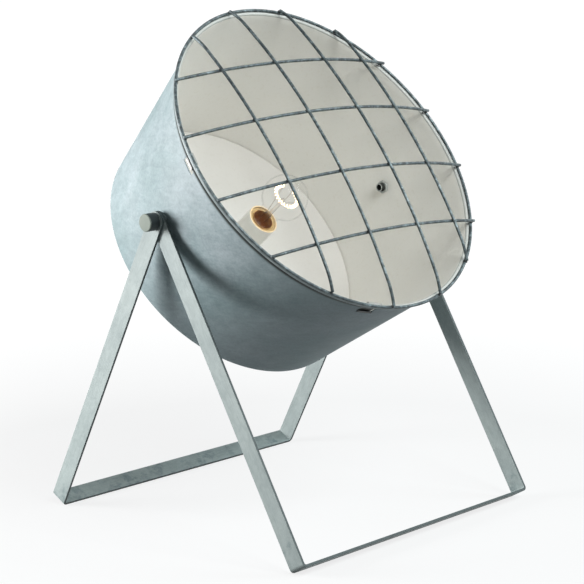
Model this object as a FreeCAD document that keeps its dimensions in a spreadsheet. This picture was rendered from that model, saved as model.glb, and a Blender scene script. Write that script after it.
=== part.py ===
import FreeCAD, Part
import math
import os
import Sketcher

# Tabletop searchlight lamp: a wide sheet-metal shade that tilts between two flat-bar frames.
# The frames stand on a table like an A, and two knobs clamp them and the shade at one pivot.
# Millimetres. The origin is on the table, midway between the two feet, +Z is up, +X is along
# the pivot from the left knob to the right one, and -Y is the way that the lamp shines.

# Driving sizes

SIZES = {
    "pivot_height": 353.7,
    "bar_width": 22.0,
    "bar_thickness": 3.0,
    "bar_bend_radius": 5.0,
    "rear_lean": 28.0,
    "front_lean": 30.4,
    "shade_side_room": 5.4,
    "frame_gap": 0.2,
    "shade_tilt": 38.3,
    "mouth_radius": 195.6,
    "mouth_reach": 95.1,
    "back_radius": 166.4,
    "back_reach": 100.4,
    "sheet_thickness": 1.0,
    "bead_diameter": 5.0,
    "back_recess": 4.8,
    "back_bend_radius": 4.0,
    "seam_clearance": 0.1,
    "wire_diameter": 3.5,
    "ring_outset": 2.4,
    "weld_gap": 0.1,
    "dome_height": 27.6,
    "crossing_step": 3.7,
    "level_inner_share": 0.198,
    "level_inner_shift": 0.2,
    "level_outer_share": 0.5649,
    "level_outer_shift": -1.1,
    "level_wire_stub": 3.0,
    "upright_inner_share": 0.19975,
    "upright_inner_shift": 5.4,
    "upright_outer_share": 0.5699,
    "upright_outer_shift": 3.2,
    "upright_wire_stub": 1.75,
    "upright_end_bend": 26.0,
    "clip_width": 14.0,
    "clip_thickness": 0.8,
    "clip_clearance": 0.3,
    "clip_tail": 1.6,
    "clip_hook": 3.0,
    "slot_width": 20.0,
    "slot_height": 7.0,
    "slot_setback": 9.1,
    "left_clip_angle": 175.3,
    "bottom_clip_angle": 254.0,
    "thread_diameter": 10.0,
    "thread_bore": 7.0,
    "running_clearance": 0.06,
    "hole_clearance": 0.15,
    "nut_flats": 14.0,
    "nut_height": 2.5,
    "nut_seat_gap": 0.1,
    "thread_stand_out": 0.3,
    "spacer_diameter": 16.0,
    "washer_diameter": 17.0,
    "washer_thickness": 1.2,
    "knob_diameter": 19.5,
    "knob_length": 13.5,
    "knob_bore_depth": 10.0,
    "knob_edge": 0.8,
    "thread_in_knob": 9.0,
    "holder_mouth": 35.0,
    "holder_diameter": 37.6,
    "holder_wall": 1.6,
    "skirt_length": 40.0,
    "cap_floor": 7.8,
    "cap_edge": 3.0,
    "insert_recess": 2.0,
    "insert_floor": 5.0,
    "insert_clearance": 0.2,
    "shell_thickness": 0.7,
    "shell_clearance": 0.25,
    "screw_head_diameter": 6.0,
    "screw_head_height": 4.0,
    "screw_spacing": 18.0,
    "contact_radius": 4.0,
    "contact_foot": 1.0,
    "contact_pin_radius": 2.0,
    "contact_gap": 0.2,
    "tag_thickness": 0.8,
    "tag_radius": 8.5,
    "tag_blade_width": 6.3,
    "tag_blade_reach": 16.0,
    "entry_nut_height": 3.0,
    "entry_thread_depth": 6.8,
    "entry_thread_reach": 9.0,
    "grip_radius": 8.0,
    "grip_lip": 5.8,
    "grip_edge": 1.5,
    "bulb_radius": 27.5,
    "bulb_reach": 45.0,
    "bulb_neck_radius": 12.6,
    "bulb_neck_depth": 11.0,
    "bulb_waist_radius": 26.0,
    "glass_thickness": 0.7,
    "bulb_cap_radius": 13.2,
    "bulb_cap_length": 20.7,
    "bulb_cap_wall": 0.5,
    "bulb_cap_end_radius": 9.0,
    "bulb_cap_taper": 2.3,
    "bulb_tip_radius": 4.6,
    "bulb_insulator_height": 2.7,
    "bulb_tip_height": 1.1,
    "cap_rim_setback": 0.8,
    "stem_seat_gap": 1.0,
    "stem_flare_radius": 11.6,
    "stem_flare_height": 1.2,
    "stem_tube_radius": 4.4,
    "stem_tube_height": 19.0,
    "stem_pinch_height": 3.3,
    "stem_rod_radius": 1.4,
    "stem_rod_length": 29.0,
    "stem_button_radius": 2.3,
    "filament_radius": 15.5,
    "filament_thickness": 0.7,
    "filament_lift": 6.0,
    "filament_gap": 50.0,
    "filament_gap_place": 45.0,
    "support_diameter": 0.5,
    "support_gap": 0.15,
    "support_count": 3,
    "lead_spacing": 6.0,
}

# Places worked out from the sizes, as formulas in the same sheet

PLACES = {
    "wall_slope": "(mouth_radius - back_radius) / (mouth_reach + back_reach)",
    "wall_at_pivot": "mouth_radius - mouth_reach * wall_slope",
    "front_half_width": "wall_at_pivot + shade_side_room + bar_thickness",
    "rear_half_width": "front_half_width + frame_gap + bar_thickness",
    "rear_leg_length": "(pivot_height - bar_width / 2 * sin(rear_lean)) / cos(rear_lean)",
    "front_leg_length": "(pivot_height - bar_width / 2 * sin(front_lean)) / cos(front_lean)",
    "rear_foot_reach": "rear_leg_length * sin(rear_lean) + bar_width / 2 * cos(rear_lean)",
    "front_foot_reach": "front_leg_length * sin(front_lean) + bar_width / 2 * cos(front_lean)",
    "pivot_y": "(front_foot_reach - rear_foot_reach) / 2",
    "running_radius": "thread_diameter / 2 + running_clearance",
    "clear_radius": "thread_diameter / 2 + hole_clearance",
    "nut_radius": "nut_flats / 2 / cos(30)",
    "nut_corner_depth": "nut_radius * wall_slope + nut_radius^2 / (2 * wall_at_pivot)",
    "pivot_nut_end": "wall_at_pivot - sheet_thickness - nut_corner_depth - nut_seat_gap",
    "pivot_nut_start": "pivot_nut_end - nut_height",
    "spacer_start": "wall_at_pivot + spacer_diameter / 2 * wall_slope + nut_seat_gap",
    "spacer_end": "front_half_width - bar_thickness",
    "knob_start": "rear_half_width + washer_thickness",
    "pivot_thread_start": "pivot_nut_start - thread_stand_out",
    "pivot_thread_end": "knob_start + thread_in_knob",
    "wire_radius": "wire_diameter / 2",
    "bead_radius": "bead_diameter / 2",
    "bead_centre": "mouth_radius - sheet_thickness + bead_radius",
    "ring_radius": "bead_centre + ring_outset",
    "level_inner_spacing": "level_inner_share * 2 * ring_radius",
    "level_outer_spacing": "level_outer_share * 2 * ring_radius",
    "upright_inner_spacing": "upright_inner_share * 2 * ring_radius",
    "upright_outer_spacing": "upright_outer_share * 2 * ring_radius",
    "ring_seat": "wire_radius + bead_radius + weld_gap",
    "ring_plane": "mouth_reach + sqrt(ring_seat^2 - ring_outset^2)",
    "wire_level": "ring_plane + wire_diameter + weld_gap",
    "dome_radius": "(ring_radius^2 + dome_height^2) / (2 * dome_height)",
    "dome_centre": "wire_level + dome_height - dome_radius",
    "lip_end": "ring_radius - wire_radius - clip_clearance",
    "lip_front": "ring_plane + clip_thickness / 2",
    "strap_front": "mouth_radius - sheet_thickness - clip_clearance",
    "tail_top": "mouth_reach - slot_setback - clip_clearance",
    "tail_wall": "mouth_radius - slot_setback * wall_slope",
    "strap_back": "tail_wall - sheet_thickness - clip_clearance",
    "hook_face": "tail_wall + clip_tail",
    "back_face": "back_reach - back_recess",
    "back_rim": "back_radius - sheet_thickness - seam_clearance",
    "back_corner": "back_rim + wall_slope * (back_recess + sheet_thickness)",
    "back_inner_corner": "back_rim - sheet_thickness + wall_slope * back_recess",
    "holder_foot": "back_face - sheet_thickness - tag_thickness",
    "skirt_foot": "holder_mouth + skirt_length",
    "insert_foot": "skirt_foot - insert_clearance",
    "insert_floor_top": "insert_foot - insert_floor",
    "insert_rim": "holder_mouth + insert_recess",
    "insert_radius": "holder_diameter / 2 - holder_wall - insert_clearance",
    "shell_bore": "bulb_cap_radius + shell_clearance",
    "shell_radius": "shell_bore + shell_thickness",
    "entry_nut_start": "back_face + washer_thickness",
    "entry_nut_end": "entry_nut_start + entry_nut_height",
    "entry_thread_end": "entry_nut_end + entry_thread_reach",
    "grip_end": "entry_thread_end + grip_lip",
    "globe_centre": "bulb_reach - holder_mouth",
    "neck_end": "holder_mouth + bulb_neck_depth",
    "cap_rim": "holder_mouth + cap_rim_setback",
    "cap_shoulder": "cap_rim + bulb_cap_length",
    "cap_end": "cap_shoulder + bulb_cap_taper",
    "insulator_end": "cap_end + bulb_insulator_height",
    "bulb_tip": "insulator_end + bulb_tip_height",
    "stem_foot": "neck_end - glass_thickness - stem_seat_gap",
    "stem_flare": "stem_foot - glass_thickness",
    "pinch_start": "stem_foot - stem_tube_height",
    "pinch_end": "pinch_start - stem_pinch_height",
    "rod_end": "stem_rod_length - pinch_end",
    "lead_inner_edge": "(lead_spacing - support_diameter) / 2",
    "pinch_slope": "stem_pinch_height / (stem_tube_radius - stem_rod_radius)",
    "lead_foot": "pinch_start - pinch_slope * (stem_tube_radius - lead_inner_edge) - support_gap",
    "button_level": "rod_end - stem_button_radius",
    "button_reach": "stem_button_radius + support_gap",
    "filament_level": "rod_end + filament_lift",
    "support_reach": "filament_radius - (filament_thickness + support_diameter) / 2 - support_gap",
}

doc = FreeCAD.newDocument("searchlight_lamp")
sheet = doc.addObject("Spreadsheet::Sheet", "Sizes")
formulas = {alias: f"={formula}" for alias, formula in PLACES.items()}
for row, (alias, value) in enumerate({**SIZES, **formulas}.items(), start=1):
    sheet.set(f"A{row}", alias)
    sheet.setAlias(f"B{row}", alias)
    sheet.set(f"B{row}", str(value))
doc.recompute()

X_AXIS = FreeCAD.Vector(1, 0, 0)
Y_AXIS = FreeCAD.Vector(0, 1, 0)
Z_AXIS = FreeCAD.Vector(0, 0, 1)


def size(alias):
    """One size or place of the sheet as a plain number."""
    return float(sheet.get(alias))


def set_at_pivot(piece, axis, angle):
    """Move a piece's own origin to the pivot and turn the piece about one axis there."""
    piece.Placement = FreeCAD.Placement(FreeCAD.Vector(), FreeCAD.Rotation(axis, 1))
    piece.setExpression("Placement.Base.y", "Sizes.pivot_y")
    piece.setExpression("Placement.Base.z", "Sizes.pivot_height")
    piece.setExpression("Placement.Rotation.Angle", angle)
    return piece


def hang_on_shade(piece):
    """Turn a piece made about the lamp's axis (its own Z, mouth up) to its place at the pivot."""
    return set_at_pivot(piece, X_AXIS, "90 - Sizes.shade_tilt")


def set_on_pivot(piece, side):
    """Lay a piece made along its own Z on the pivot, outward to the left (-1) or right (+1)."""
    return set_at_pivot(piece, Y_AXIS, f"{90 * side}")


finished = []


def named(piece, label):
    """Give a finished piece the name of its node."""
    piece.Label = label
    finished.append(piece)
    return piece


def cylinder(name, radius, height, start="0"):
    """A solid cylinder on the Z axis, from start over its height."""
    piece = doc.addObject("Part::Cylinder", name)
    piece.setExpression("Radius", radius)
    piece.setExpression("Height", height)
    piece.setExpression("Placement.Base.z", start)
    return piece


def hexagon(name, corner_radius, height, start="0"):
    """A hexagonal prism on the Z axis."""
    piece = doc.addObject("Part::Prism", name)
    piece.Polygon = 6
    piece.setExpression("Circumradius", corner_radius)
    piece.setExpression("Height", height)
    piece.setExpression("Placement.Base.z", start)
    return piece


def cut(name, base, tool):
    """The first solid without the second."""
    piece = doc.addObject("Part::Cut", name)
    piece.Base = base
    piece.Tool = tool
    return piece


def fuse(name, pieces):
    """Several solids that are one piece."""
    piece = doc.addObject("Part::MultiFuse", name)
    piece.Shapes = pieces
    return piece


def group(name, pieces):
    """Several like solids that share one node."""
    piece = doc.addObject("Part::Compound", name)
    piece.Links = pieces
    return piece


def tube(name, outer, inner, height, start="0"):
    """A plain tube on the Z axis; its bore runs past both ends."""
    body = cylinder(f"{name}_body", outer, height, start)
    bore = cylinder(f"{name}_bore", inner, f"3 * ({height})", f"{start} - ({height})")
    return cut(name, body, bore)


def origin_feature(body, role):
    """The body's own origin plane or axis with this role."""
    return next(item for item in body.Origin.OriginFeatures if item.Role == role)


def new_sketch(body, name, plane):
    """An empty sketch on one of the body's own origin planes."""
    sketch = body.newObject("Sketcher::SketchObject", name)
    sketch.AttachmentSupport = [(origin_feature(body, plane), "")]
    sketch.MapMode = "FlatFace"
    return sketch


def pin(sketch, geometry, point, across, up):
    """Hold one point of a sketch at two sheet formulas, measured from the sketch's origin."""
    for kind, formula in (("DistanceX", across), ("DistanceY", up)):
        index = sketch.addConstraint(Sketcher.Constraint(kind, -1, 1, geometry, point, 1.0))
        sketch.setExpression(f"Constraints[{index}]", formula)


def outline(body, name, plane, corners):
    """A closed outline of straight sides through corners given as pairs of sheet formulas."""
    sketch = new_sketch(body, name, plane)
    count = len(corners)
    turn = 2 * math.pi / count
    rough = [FreeCAD.Vector(math.cos(turn * i), math.sin(turn * i), 0) for i in range(count)]
    for i in range(count):
        sketch.addGeometry(Part.LineSegment(rough[i], rough[(i + 1) % count]), False)
    for i in range(count):
        sketch.addConstraint(Sketcher.Constraint("Coincident", i, 2, (i + 1) % count, 1))
    for i, (across, up) in enumerate(corners):
        pin(sketch, i, 1, across, up)
    return sketch


def circle(body, name, plane, across, up, radius):
    """One circle in a sketch, its centre and radius given as sheet formulas."""
    sketch = new_sketch(body, name, plane)
    sketch.addGeometry(Part.Circle(FreeCAD.Vector(1, 1, 0), Z_AXIS, 1), False)
    pin(sketch, 0, 3, across, up)
    index = sketch.addConstraint(Sketcher.Constraint("Radius", 0, 1.0))
    sketch.setExpression(f"Constraints[{index}]", radius)
    return sketch


def revolve(body, name, sketch):
    """Turn a sketch a full turn about the body's own Z axis."""
    feature = body.newObject("PartDesign::Revolution", name)
    feature.Profile = sketch
    feature.ReferenceAxis = (origin_feature(body, "Z_Axis"), [""])
    feature.Angle = 360
    return feature


def pad_both_ways(body, kind, name, sketch, length):
    """A pad or pocket that reaches half its length to each side of its sketch."""
    feature = body.newObject(kind, name)
    feature.Profile = sketch
    feature.Midplane = True
    feature.setExpression("Length", length)
    return feature


def turned_piece(name, corners):
    """A body turned about Z from an outline of (radius, height along the axis) corners."""
    body = doc.addObject("PartDesign::Body", name)
    sketch = outline(body, f"{name}_outline", "XZ_Plane", corners)
    revolve(body, f"{name}_turn", sketch)
    return body


# Frames


def side_profile(body, name, reach):
    """A leg seen from its side: a straight bar with a half-round end about the pivot."""
    sketch = new_sketch(body, name, "YZ_Plane")
    corners = [FreeCAD.Vector(0, 1, 0), FreeCAD.Vector(-3, 1, 0),
               FreeCAD.Vector(-3, -1, 0), FreeCAD.Vector(0, -1, 0)]
    for start, end in zip(corners, corners[1:]):
        sketch.addGeometry(Part.LineSegment(start, end), False)
    round_end = Part.Circle(FreeCAD.Vector(), Z_AXIS, 1)
    sketch.addGeometry(Part.ArcOfCircle(round_end, -math.pi / 2, math.pi / 2), False)
    arc = 3
    for first, first_end, second, second_end in (
        (0, 2, 1, 1), (1, 2, 2, 1), (2, 2, arc, 1), (0, 1, arc, 2),
    ):
        sketch.addConstraint(
            Sketcher.Constraint("Coincident", first, first_end, second, second_end))
    sketch.addConstraint(Sketcher.Constraint("Coincident", arc, 3, -1, 1))
    sketch.addConstraint(Sketcher.Constraint("Vertical", arc, 1, arc, 2))
    pin(sketch, 0, 1, "0", "Sizes.bar_width / 2")
    pin(sketch, 1, 1, f"-{reach}", "Sizes.bar_width / 2")
    pin(sketch, 2, 1, f"-{reach}", "-Sizes.bar_width / 2")
    return sketch


def bar_frame(part, turn):
    """A flat bar bent to a U: two legs with round ends at the pivot, and a crossbar on the table.

    The U is drawn in its own XY plane with the pivot at the origin and the legs towards -Y; the
    bar's width is along its own Z, so the crossbar stands on one long edge.
    """
    name = f"{part}_bar"
    reach = f"Sizes.{part}_leg_length"
    half_width = f"Sizes.{part}_half_width"
    inner = f"({half_width} - Sizes.bar_thickness)"
    body = doc.addObject("PartDesign::Body", name)
    side = side_profile(body, f"{name}_side", reach)
    pad_both_ways(body, "PartDesign::Pad", f"{name}_length", side, f"2 * {half_width}")
    between = outline(body, f"{name}_between", "XY_Plane", [
        (inner, "Sizes.bar_width"),
        (f"-{inner}", "Sizes.bar_width"),
        (f"-{inner}", f"-({reach} - Sizes.bar_thickness)"),
        (inner, f"-({reach} - Sizes.bar_thickness)"),
    ])
    pad_both_ways(body, "PartDesign::Pocket", f"{name}_gap", between, "2 * Sizes.bar_width")
    hole = circle(body, f"{name}_hole", "YZ_Plane", "0", "0", "Sizes.running_radius")
    pad_both_ways(body, "PartDesign::Pocket", f"{name}_holes", hole, f"3 * {half_width}")
    round_edges(body, f"{name}_outside_bend", bend_edges(body, 0), "Sizes.bar_bend_radius")
    round_edges(body, f"{name}_inside_bend", bend_edges(body, size("bar_thickness")),
                "Sizes.bar_bend_radius - Sizes.bar_thickness")
    return set_at_pivot(body, X_AXIS, turn)


def bend_edges(body, depth):
    """The two corner edges of a bent bar that lie this deep in its crossbar."""
    doc.recompute()
    shape = body.Tip.Shape
    level = shape.BoundBox.YMin + depth
    return [f"Edge{number}" for number, edge in enumerate(shape.Edges, start=1)
            if abs(edge.BoundBox.YMin - level) < 0.01 and edge.BoundBox.YLength < 0.01
            and edge.BoundBox.XLength < 0.01]


def circle_edges(body, radius):
    """The circular edges of a turned body with this radius."""
    doc.recompute()
    return [f"Edge{number}" for number, edge in enumerate(body.Tip.Shape.Edges, start=1)
            if isinstance(edge.Curve, Part.Circle) and abs(edge.Curve.Radius - radius) < 0.01]


def round_edges(body, name, edges, radius):
    """Round some edges of a body's latest feature."""
    base = body.Tip
    feature = body.newObject("PartDesign::Fillet", name)
    feature.Base = (base, edges)
    feature.setExpression("Radius", radius)
    doc.recompute()


named(bar_frame("rear", "90 + Sizes.rear_lean"), "rear_frame")
named(bar_frame("front", "90 - Sizes.front_lean"), "front_frame")

# Pivot hardware: a hollow threaded tube on each side, with its nut, spacer, washer and knob

for side, word in ((-1, "left"), (1, "right")):
    nipple = tube(f"{word}_thread", "Sizes.thread_diameter / 2", "Sizes.thread_bore / 2",
                  "Sizes.pivot_thread_end - Sizes.pivot_thread_start", "Sizes.pivot_thread_start")
    named(set_on_pivot(nipple, side), f"{word}_pivot_tube")

    nut_body = hexagon(f"{word}_nut_body", "Sizes.nut_radius", "Sizes.nut_height",
                       "Sizes.pivot_nut_start")
    nut_bore = cylinder(f"{word}_nut_bore", "Sizes.running_radius", "3 * Sizes.nut_height",
                        "Sizes.pivot_nut_start - Sizes.nut_height")
    nut = cut(f"{word}_nut", nut_body, nut_bore)
    named(set_on_pivot(nut, side), f"{word}_pivot_locknut")

    spacer = tube(f"{word}_spacer", "Sizes.spacer_diameter / 2", "Sizes.running_radius",
                  "Sizes.spacer_end - Sizes.spacer_start", "Sizes.spacer_start")
    named(set_on_pivot(spacer, side), f"{word}_shade_spacer")

    washer = tube(f"{word}_washer", "Sizes.washer_diameter / 2", "Sizes.running_radius",
                  "Sizes.washer_thickness", "Sizes.rear_half_width")
    named(set_on_pivot(washer, side), f"{word}_knob_washer")

    knob = turned_piece(f"{word}_knob_body", [
        ("Sizes.running_radius", "Sizes.knob_start"),
        ("Sizes.knob_diameter / 2", "Sizes.knob_start"),
        ("Sizes.knob_diameter / 2", "Sizes.knob_start + Sizes.knob_length - Sizes.knob_edge"),
        ("Sizes.knob_diameter / 2 - Sizes.knob_edge", "Sizes.knob_start + Sizes.knob_length"),
        ("0", "Sizes.knob_start + Sizes.knob_length"),
        ("0", "Sizes.knob_start + Sizes.knob_bore_depth"),
        ("Sizes.running_radius", "Sizes.knob_start + Sizes.knob_bore_depth"),
    ])
    named(set_on_pivot(knob, side), f"{word}_clamp_knob")

# Shade: a tapered wall with a wired rim, and a back panel seamed into its narrow end

wall_body = doc.addObject("PartDesign::Body", "WallBody")
wall_outline = outline(wall_body, "wall_outline", "XZ_Plane", [
    ("Sizes.mouth_radius", "Sizes.mouth_reach"),
    ("Sizes.mouth_radius - Sizes.sheet_thickness", "Sizes.mouth_reach"),
    ("Sizes.back_radius - Sizes.sheet_thickness", "-Sizes.back_reach"),
    ("Sizes.back_radius", "-Sizes.back_reach"),
])
revolve(wall_body, "wall_turn", wall_outline)
bead_outline = circle(wall_body, "bead_outline", "XZ_Plane", "Sizes.bead_centre",
                      "Sizes.mouth_reach", "Sizes.bead_radius")
revolve(wall_body, "bead_turn", bead_outline)
pivot_hole = circle(wall_body, "pivot_hole", "YZ_Plane", "0", "0", "Sizes.clear_radius")
pad_both_ways(wall_body, "PartDesign::Pocket", "pivot_holes", pivot_hole, "3 * Sizes.mouth_radius")

CLIP_PLACES = ("left", "bottom")


def slot_cutter(place):
    """A bar from the lamp's axis outward that opens the wall for one clip's tail."""
    angle = f"Sizes.{place}_clip_angle"
    bar = doc.addObject("Part::Box", f"{place}_slot_cutter")
    bar.Placement = FreeCAD.Placement(FreeCAD.Vector(), FreeCAD.Rotation(Z_AXIS, 1))
    bar.setExpression("Length", "2 * Sizes.mouth_radius")
    bar.setExpression("Width", "Sizes.slot_width")
    bar.setExpression("Height", "Sizes.slot_height")
    bar.setExpression("Placement.Rotation.Angle", angle)
    bar.setExpression("Placement.Base.x", f"Sizes.slot_width / 2 * sin({angle})")
    bar.setExpression("Placement.Base.y", f"-Sizes.slot_width / 2 * cos({angle})")
    bar.setExpression("Placement.Base.z",
                      "Sizes.mouth_reach - Sizes.slot_setback - Sizes.slot_height")
    return bar


cutters = fuse("slot_cutters", [slot_cutter(place) for place in CLIP_PLACES])
named(hang_on_shade(cut("slotted_wall", wall_body, cutters)), "shade_wall")

back_body = turned_piece("BackBody", [
    ("Sizes.clear_radius", "-Sizes.back_face"),
    ("Sizes.clear_radius", "-(Sizes.back_face - Sizes.sheet_thickness)"),
    ("Sizes.back_corner", "-(Sizes.back_face - Sizes.sheet_thickness)"),
    ("Sizes.back_rim", "-Sizes.back_reach"),
    ("Sizes.back_rim - Sizes.sheet_thickness", "-Sizes.back_reach"),
    ("Sizes.back_inner_corner", "-Sizes.back_face"),
])
round_edges(back_body, "back_bend", circle_edges(back_body, size("back_corner")),
            "Sizes.back_bend_radius")
round_edges(back_body, "back_inner_bend", circle_edges(back_body, size("back_inner_corner")),
            "Sizes.back_bend_radius - Sizes.sheet_thickness")
named(hang_on_shade(back_body), "shade_back")

# Grille: a wire ring on the rim, four level wires and four upright wires over them

ring_body = doc.addObject("PartDesign::Body", "RingBody")
ring_section = circle(ring_body, "ring_section", "XZ_Plane", "Sizes.ring_radius", "Sizes.ring_plane",
                      "Sizes.wire_radius")
revolve(ring_body, "ring_turn", ring_section)
named(hang_on_shade(ring_body), "grille_ring")


def dome_level(along, across, step):
    """Height on the dome, raised by step, above the point (along, across) of the mouth."""
    rise = math.sqrt(size("dome_radius") ** 2 - along ** 2 - across ** 2)
    return size("dome_centre") + step + rise


def dome_arc(starts, ends, across, step):
    """The arc of the dome between two places along a wire that lies at this distance across."""
    middle = (starts + ends) / 2
    return [FreeCAD.Vector(along, across, dome_level(along, across, step))
            for along in (starts, middle, ends)]


def bend_down(joint, end, across, step):
    """An arc that leaves the raised dome smoothly at joint and comes down to the ring at end."""
    tangent_foot = FreeCAD.Vector(0, across, size("dome_centre") + step)
    outward = (joint - tangent_foot).normalize()
    drop = end - joint
    radius = -drop.dot(drop) / (2 * outward.dot(drop))
    centre = joint - outward * radius
    middle = centre + ((joint - centre) + (end - centre)).normalize() * radius
    return [joint, middle, end]


def level_path(across):
    """The centre line of a level wire: one arc of the dome."""
    half = math.sqrt((size("ring_radius") + size("level_wire_stub")) ** 2 - across ** 2)
    return [dome_arc(-half, half, across, 0)]


def upright_path(across):
    """The centre line of an upright wire: a raised arc, bent down to the ring at both ends."""
    half = math.sqrt((size("ring_radius") + size("upright_wire_stub")) ** 2 - across ** 2)
    bend = half - size("upright_end_bend")
    middle = dome_arc(-bend, bend, across, size("crossing_step"))
    ends = [FreeCAD.Vector(along, across, size("wire_level")) for along in (-half, half)]
    left = bend_down(middle[0], ends[0], across, size("crossing_step"))
    right = bend_down(middle[-1], ends[1], across, size("crossing_step"))
    return [left[::-1], middle, right]


def grille_wire(label, path, turn):
    """One round wire of the grille along its path, turned about the lamp's axis."""
    rotation = FreeCAD.Rotation(Z_AXIS, turn)
    edges = [Part.Arc(*[rotation.multVec(point) for point in points]).toShape()
             for points in path]
    start = edges[0].valueAt(edges[0].FirstParameter)
    direction = edges[0].tangentAt(edges[0].FirstParameter)
    section = Part.Wire(Part.Circle(start, direction, size("wire_radius")).toShape())
    feature = doc.addObject("Part::Feature", label)
    feature.Shape = Part.Wire(edges).makePipeShell([section], True, False)
    named(hang_on_shade(feature), label)


def wire_places(kind):
    """The distances across of the four wires of one kind, from its two pairs' spacings."""
    outer, inner = size(f"{kind}_outer_spacing") / 2, size(f"{kind}_inner_spacing") / 2
    outer_shift, inner_shift = size(f"{kind}_outer_shift"), size(f"{kind}_inner_shift")
    return (outer_shift - outer, inner_shift - inner, inner_shift + inner, outer_shift + outer)


for number, place in enumerate(wire_places("level"), start=1):
    grille_wire(f"grille_level_wire_{number}", level_path(place), 0)
for number, place in enumerate(wire_places("upright"), start=1):
    grille_wire(f"grille_upright_wire_{number}", upright_path(-place), 90)

# Clips: bent strips from the ring down inside the wall, with their tails hooked through its slots


def clip(place):
    """One clip: a lip inside the ring, a strap inside the wall, and a hooked tail in its slot."""
    body = doc.addObject("PartDesign::Body", f"{place}_clip")
    strip = "Sizes.clip_thickness"
    sketch = outline(body, f"{place}_clip_outline", "XZ_Plane", [
        ("Sizes.lip_end", f"Sizes.lip_front - {strip}"),
        ("Sizes.lip_end", "Sizes.lip_front"),
        (f"Sizes.strap_front - {strip}", "Sizes.lip_front"),
        (f"Sizes.strap_back - {strip}", f"Sizes.tail_top - {strip}"),
        ("Sizes.hook_face", f"Sizes.tail_top - {strip}"),
        ("Sizes.hook_face", "Sizes.tail_top + Sizes.clip_hook"),
        (f"Sizes.hook_face - {strip}", "Sizes.tail_top + Sizes.clip_hook"),
        (f"Sizes.hook_face - {strip}", "Sizes.tail_top"),
        ("Sizes.strap_back", "Sizes.tail_top"),
        ("Sizes.strap_front", f"Sizes.lip_front - {strip}"),
    ])
    pad_both_ways(body, "PartDesign::Pad", f"{place}_clip_strip", sketch, "Sizes.clip_width")
    body.Placement = FreeCAD.Placement(FreeCAD.Vector(), FreeCAD.Rotation(Z_AXIS, 1))
    body.setExpression("Placement.Rotation.Angle", f"Sizes.{place}_clip_angle")
    return body


named(hang_on_shade(group("Clips", [clip(place) for place in CLIP_PLACES])), "grille_clips")

# Lampholder on the back panel: cap, skirt, insert, screw shell, contact and terminal screws

cap = turned_piece("HolderCap", [
    ("Sizes.running_radius", "-Sizes.holder_foot"),
    ("Sizes.holder_diameter / 2 - Sizes.cap_edge", "-Sizes.holder_foot"),
    ("Sizes.holder_diameter / 2", "-(Sizes.holder_foot - Sizes.cap_edge)"),
    ("Sizes.holder_diameter / 2", "-Sizes.skirt_foot"),
    ("Sizes.holder_diameter / 2 - Sizes.holder_wall", "-Sizes.skirt_foot"),
    ("Sizes.holder_diameter / 2 - Sizes.holder_wall", "-(Sizes.holder_foot - Sizes.cap_floor)"),
    ("Sizes.running_radius", "-(Sizes.holder_foot - Sizes.cap_floor)"),
])
named(hang_on_shade(cap), "lampholder_cap")

skirt = tube("HolderSkirt", "Sizes.holder_diameter / 2",
             "Sizes.holder_diameter / 2 - Sizes.holder_wall", "Sizes.skirt_length", "-Sizes.skirt_foot")
named(hang_on_shade(skirt), "lampholder_skirt")

insert = turned_piece("HolderInsert", [
    ("0", "-Sizes.insert_foot"),
    ("Sizes.insert_radius", "-Sizes.insert_foot"),
    ("Sizes.insert_radius", "-Sizes.insert_rim"),
    ("Sizes.shell_radius + Sizes.insert_clearance", "-Sizes.insert_rim"),
    ("Sizes.shell_radius + Sizes.insert_clearance", "-Sizes.insert_floor_top"),
    ("0", "-Sizes.insert_floor_top"),
])
named(hang_on_shade(insert), "lampholder_insert")

shell = tube("ScrewShell", "Sizes.shell_radius", "Sizes.shell_bore",
             "Sizes.insert_floor_top - Sizes.insert_rim", "-Sizes.insert_floor_top")
named(hang_on_shade(shell), "lampholder_screw_shell")

contact = turned_piece("CentreContact", [
    ("0", "-Sizes.insert_floor_top"),
    ("Sizes.contact_radius", "-Sizes.insert_floor_top"),
    ("Sizes.contact_radius", "-(Sizes.insert_floor_top - Sizes.contact_foot)"),
    ("Sizes.contact_pin_radius", "-(Sizes.insert_floor_top - Sizes.contact_foot)"),
    ("Sizes.contact_pin_radius", "-(Sizes.bulb_tip + Sizes.contact_gap)"),
    ("0", "-(Sizes.bulb_tip + Sizes.contact_gap)"),
])
named(hang_on_shade(contact), "lampholder_centre_contact")

screws = []
for side, word in ((-1, "left"), (1, "right")):
    screw = cylinder(f"{word}_terminal_screw", "Sizes.screw_head_diameter / 2",
                     "Sizes.screw_head_height",
                     "-(Sizes.insert_foot + Sizes.screw_head_height)")
    screw.setExpression("Placement.Base.x", f"{side} * Sizes.screw_spacing / 2")
    screws.append(screw)
named(hang_on_shade(group("TerminalScrews", screws)), "terminal_screws")

# Cable entry through the back panel: earth tag, threaded tube, nut and cord grip

tag_ring = cylinder("tag_ring", "Sizes.tag_radius", "Sizes.tag_thickness",
                    "-(Sizes.back_face - Sizes.sheet_thickness)")
blade = doc.addObject("Part::Box", "tag_blade")
blade.setExpression("Length", "Sizes.tag_blade_width")
blade.setExpression("Width", "Sizes.tag_blade_reach")
blade.setExpression("Height", "Sizes.tag_thickness")
blade.setExpression("Placement.Base.x", "-Sizes.tag_blade_width / 2")
blade.setExpression("Placement.Base.z", "-(Sizes.back_face - Sizes.sheet_thickness)")
tag_hole = cylinder("tag_hole", "Sizes.running_radius", "3 * Sizes.tag_thickness",
                    "-Sizes.back_face")
tag = cut("EarthTag", fuse("tag_plate", [tag_ring, blade]), tag_hole)
named(hang_on_shade(tag), "earth_tag")

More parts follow.
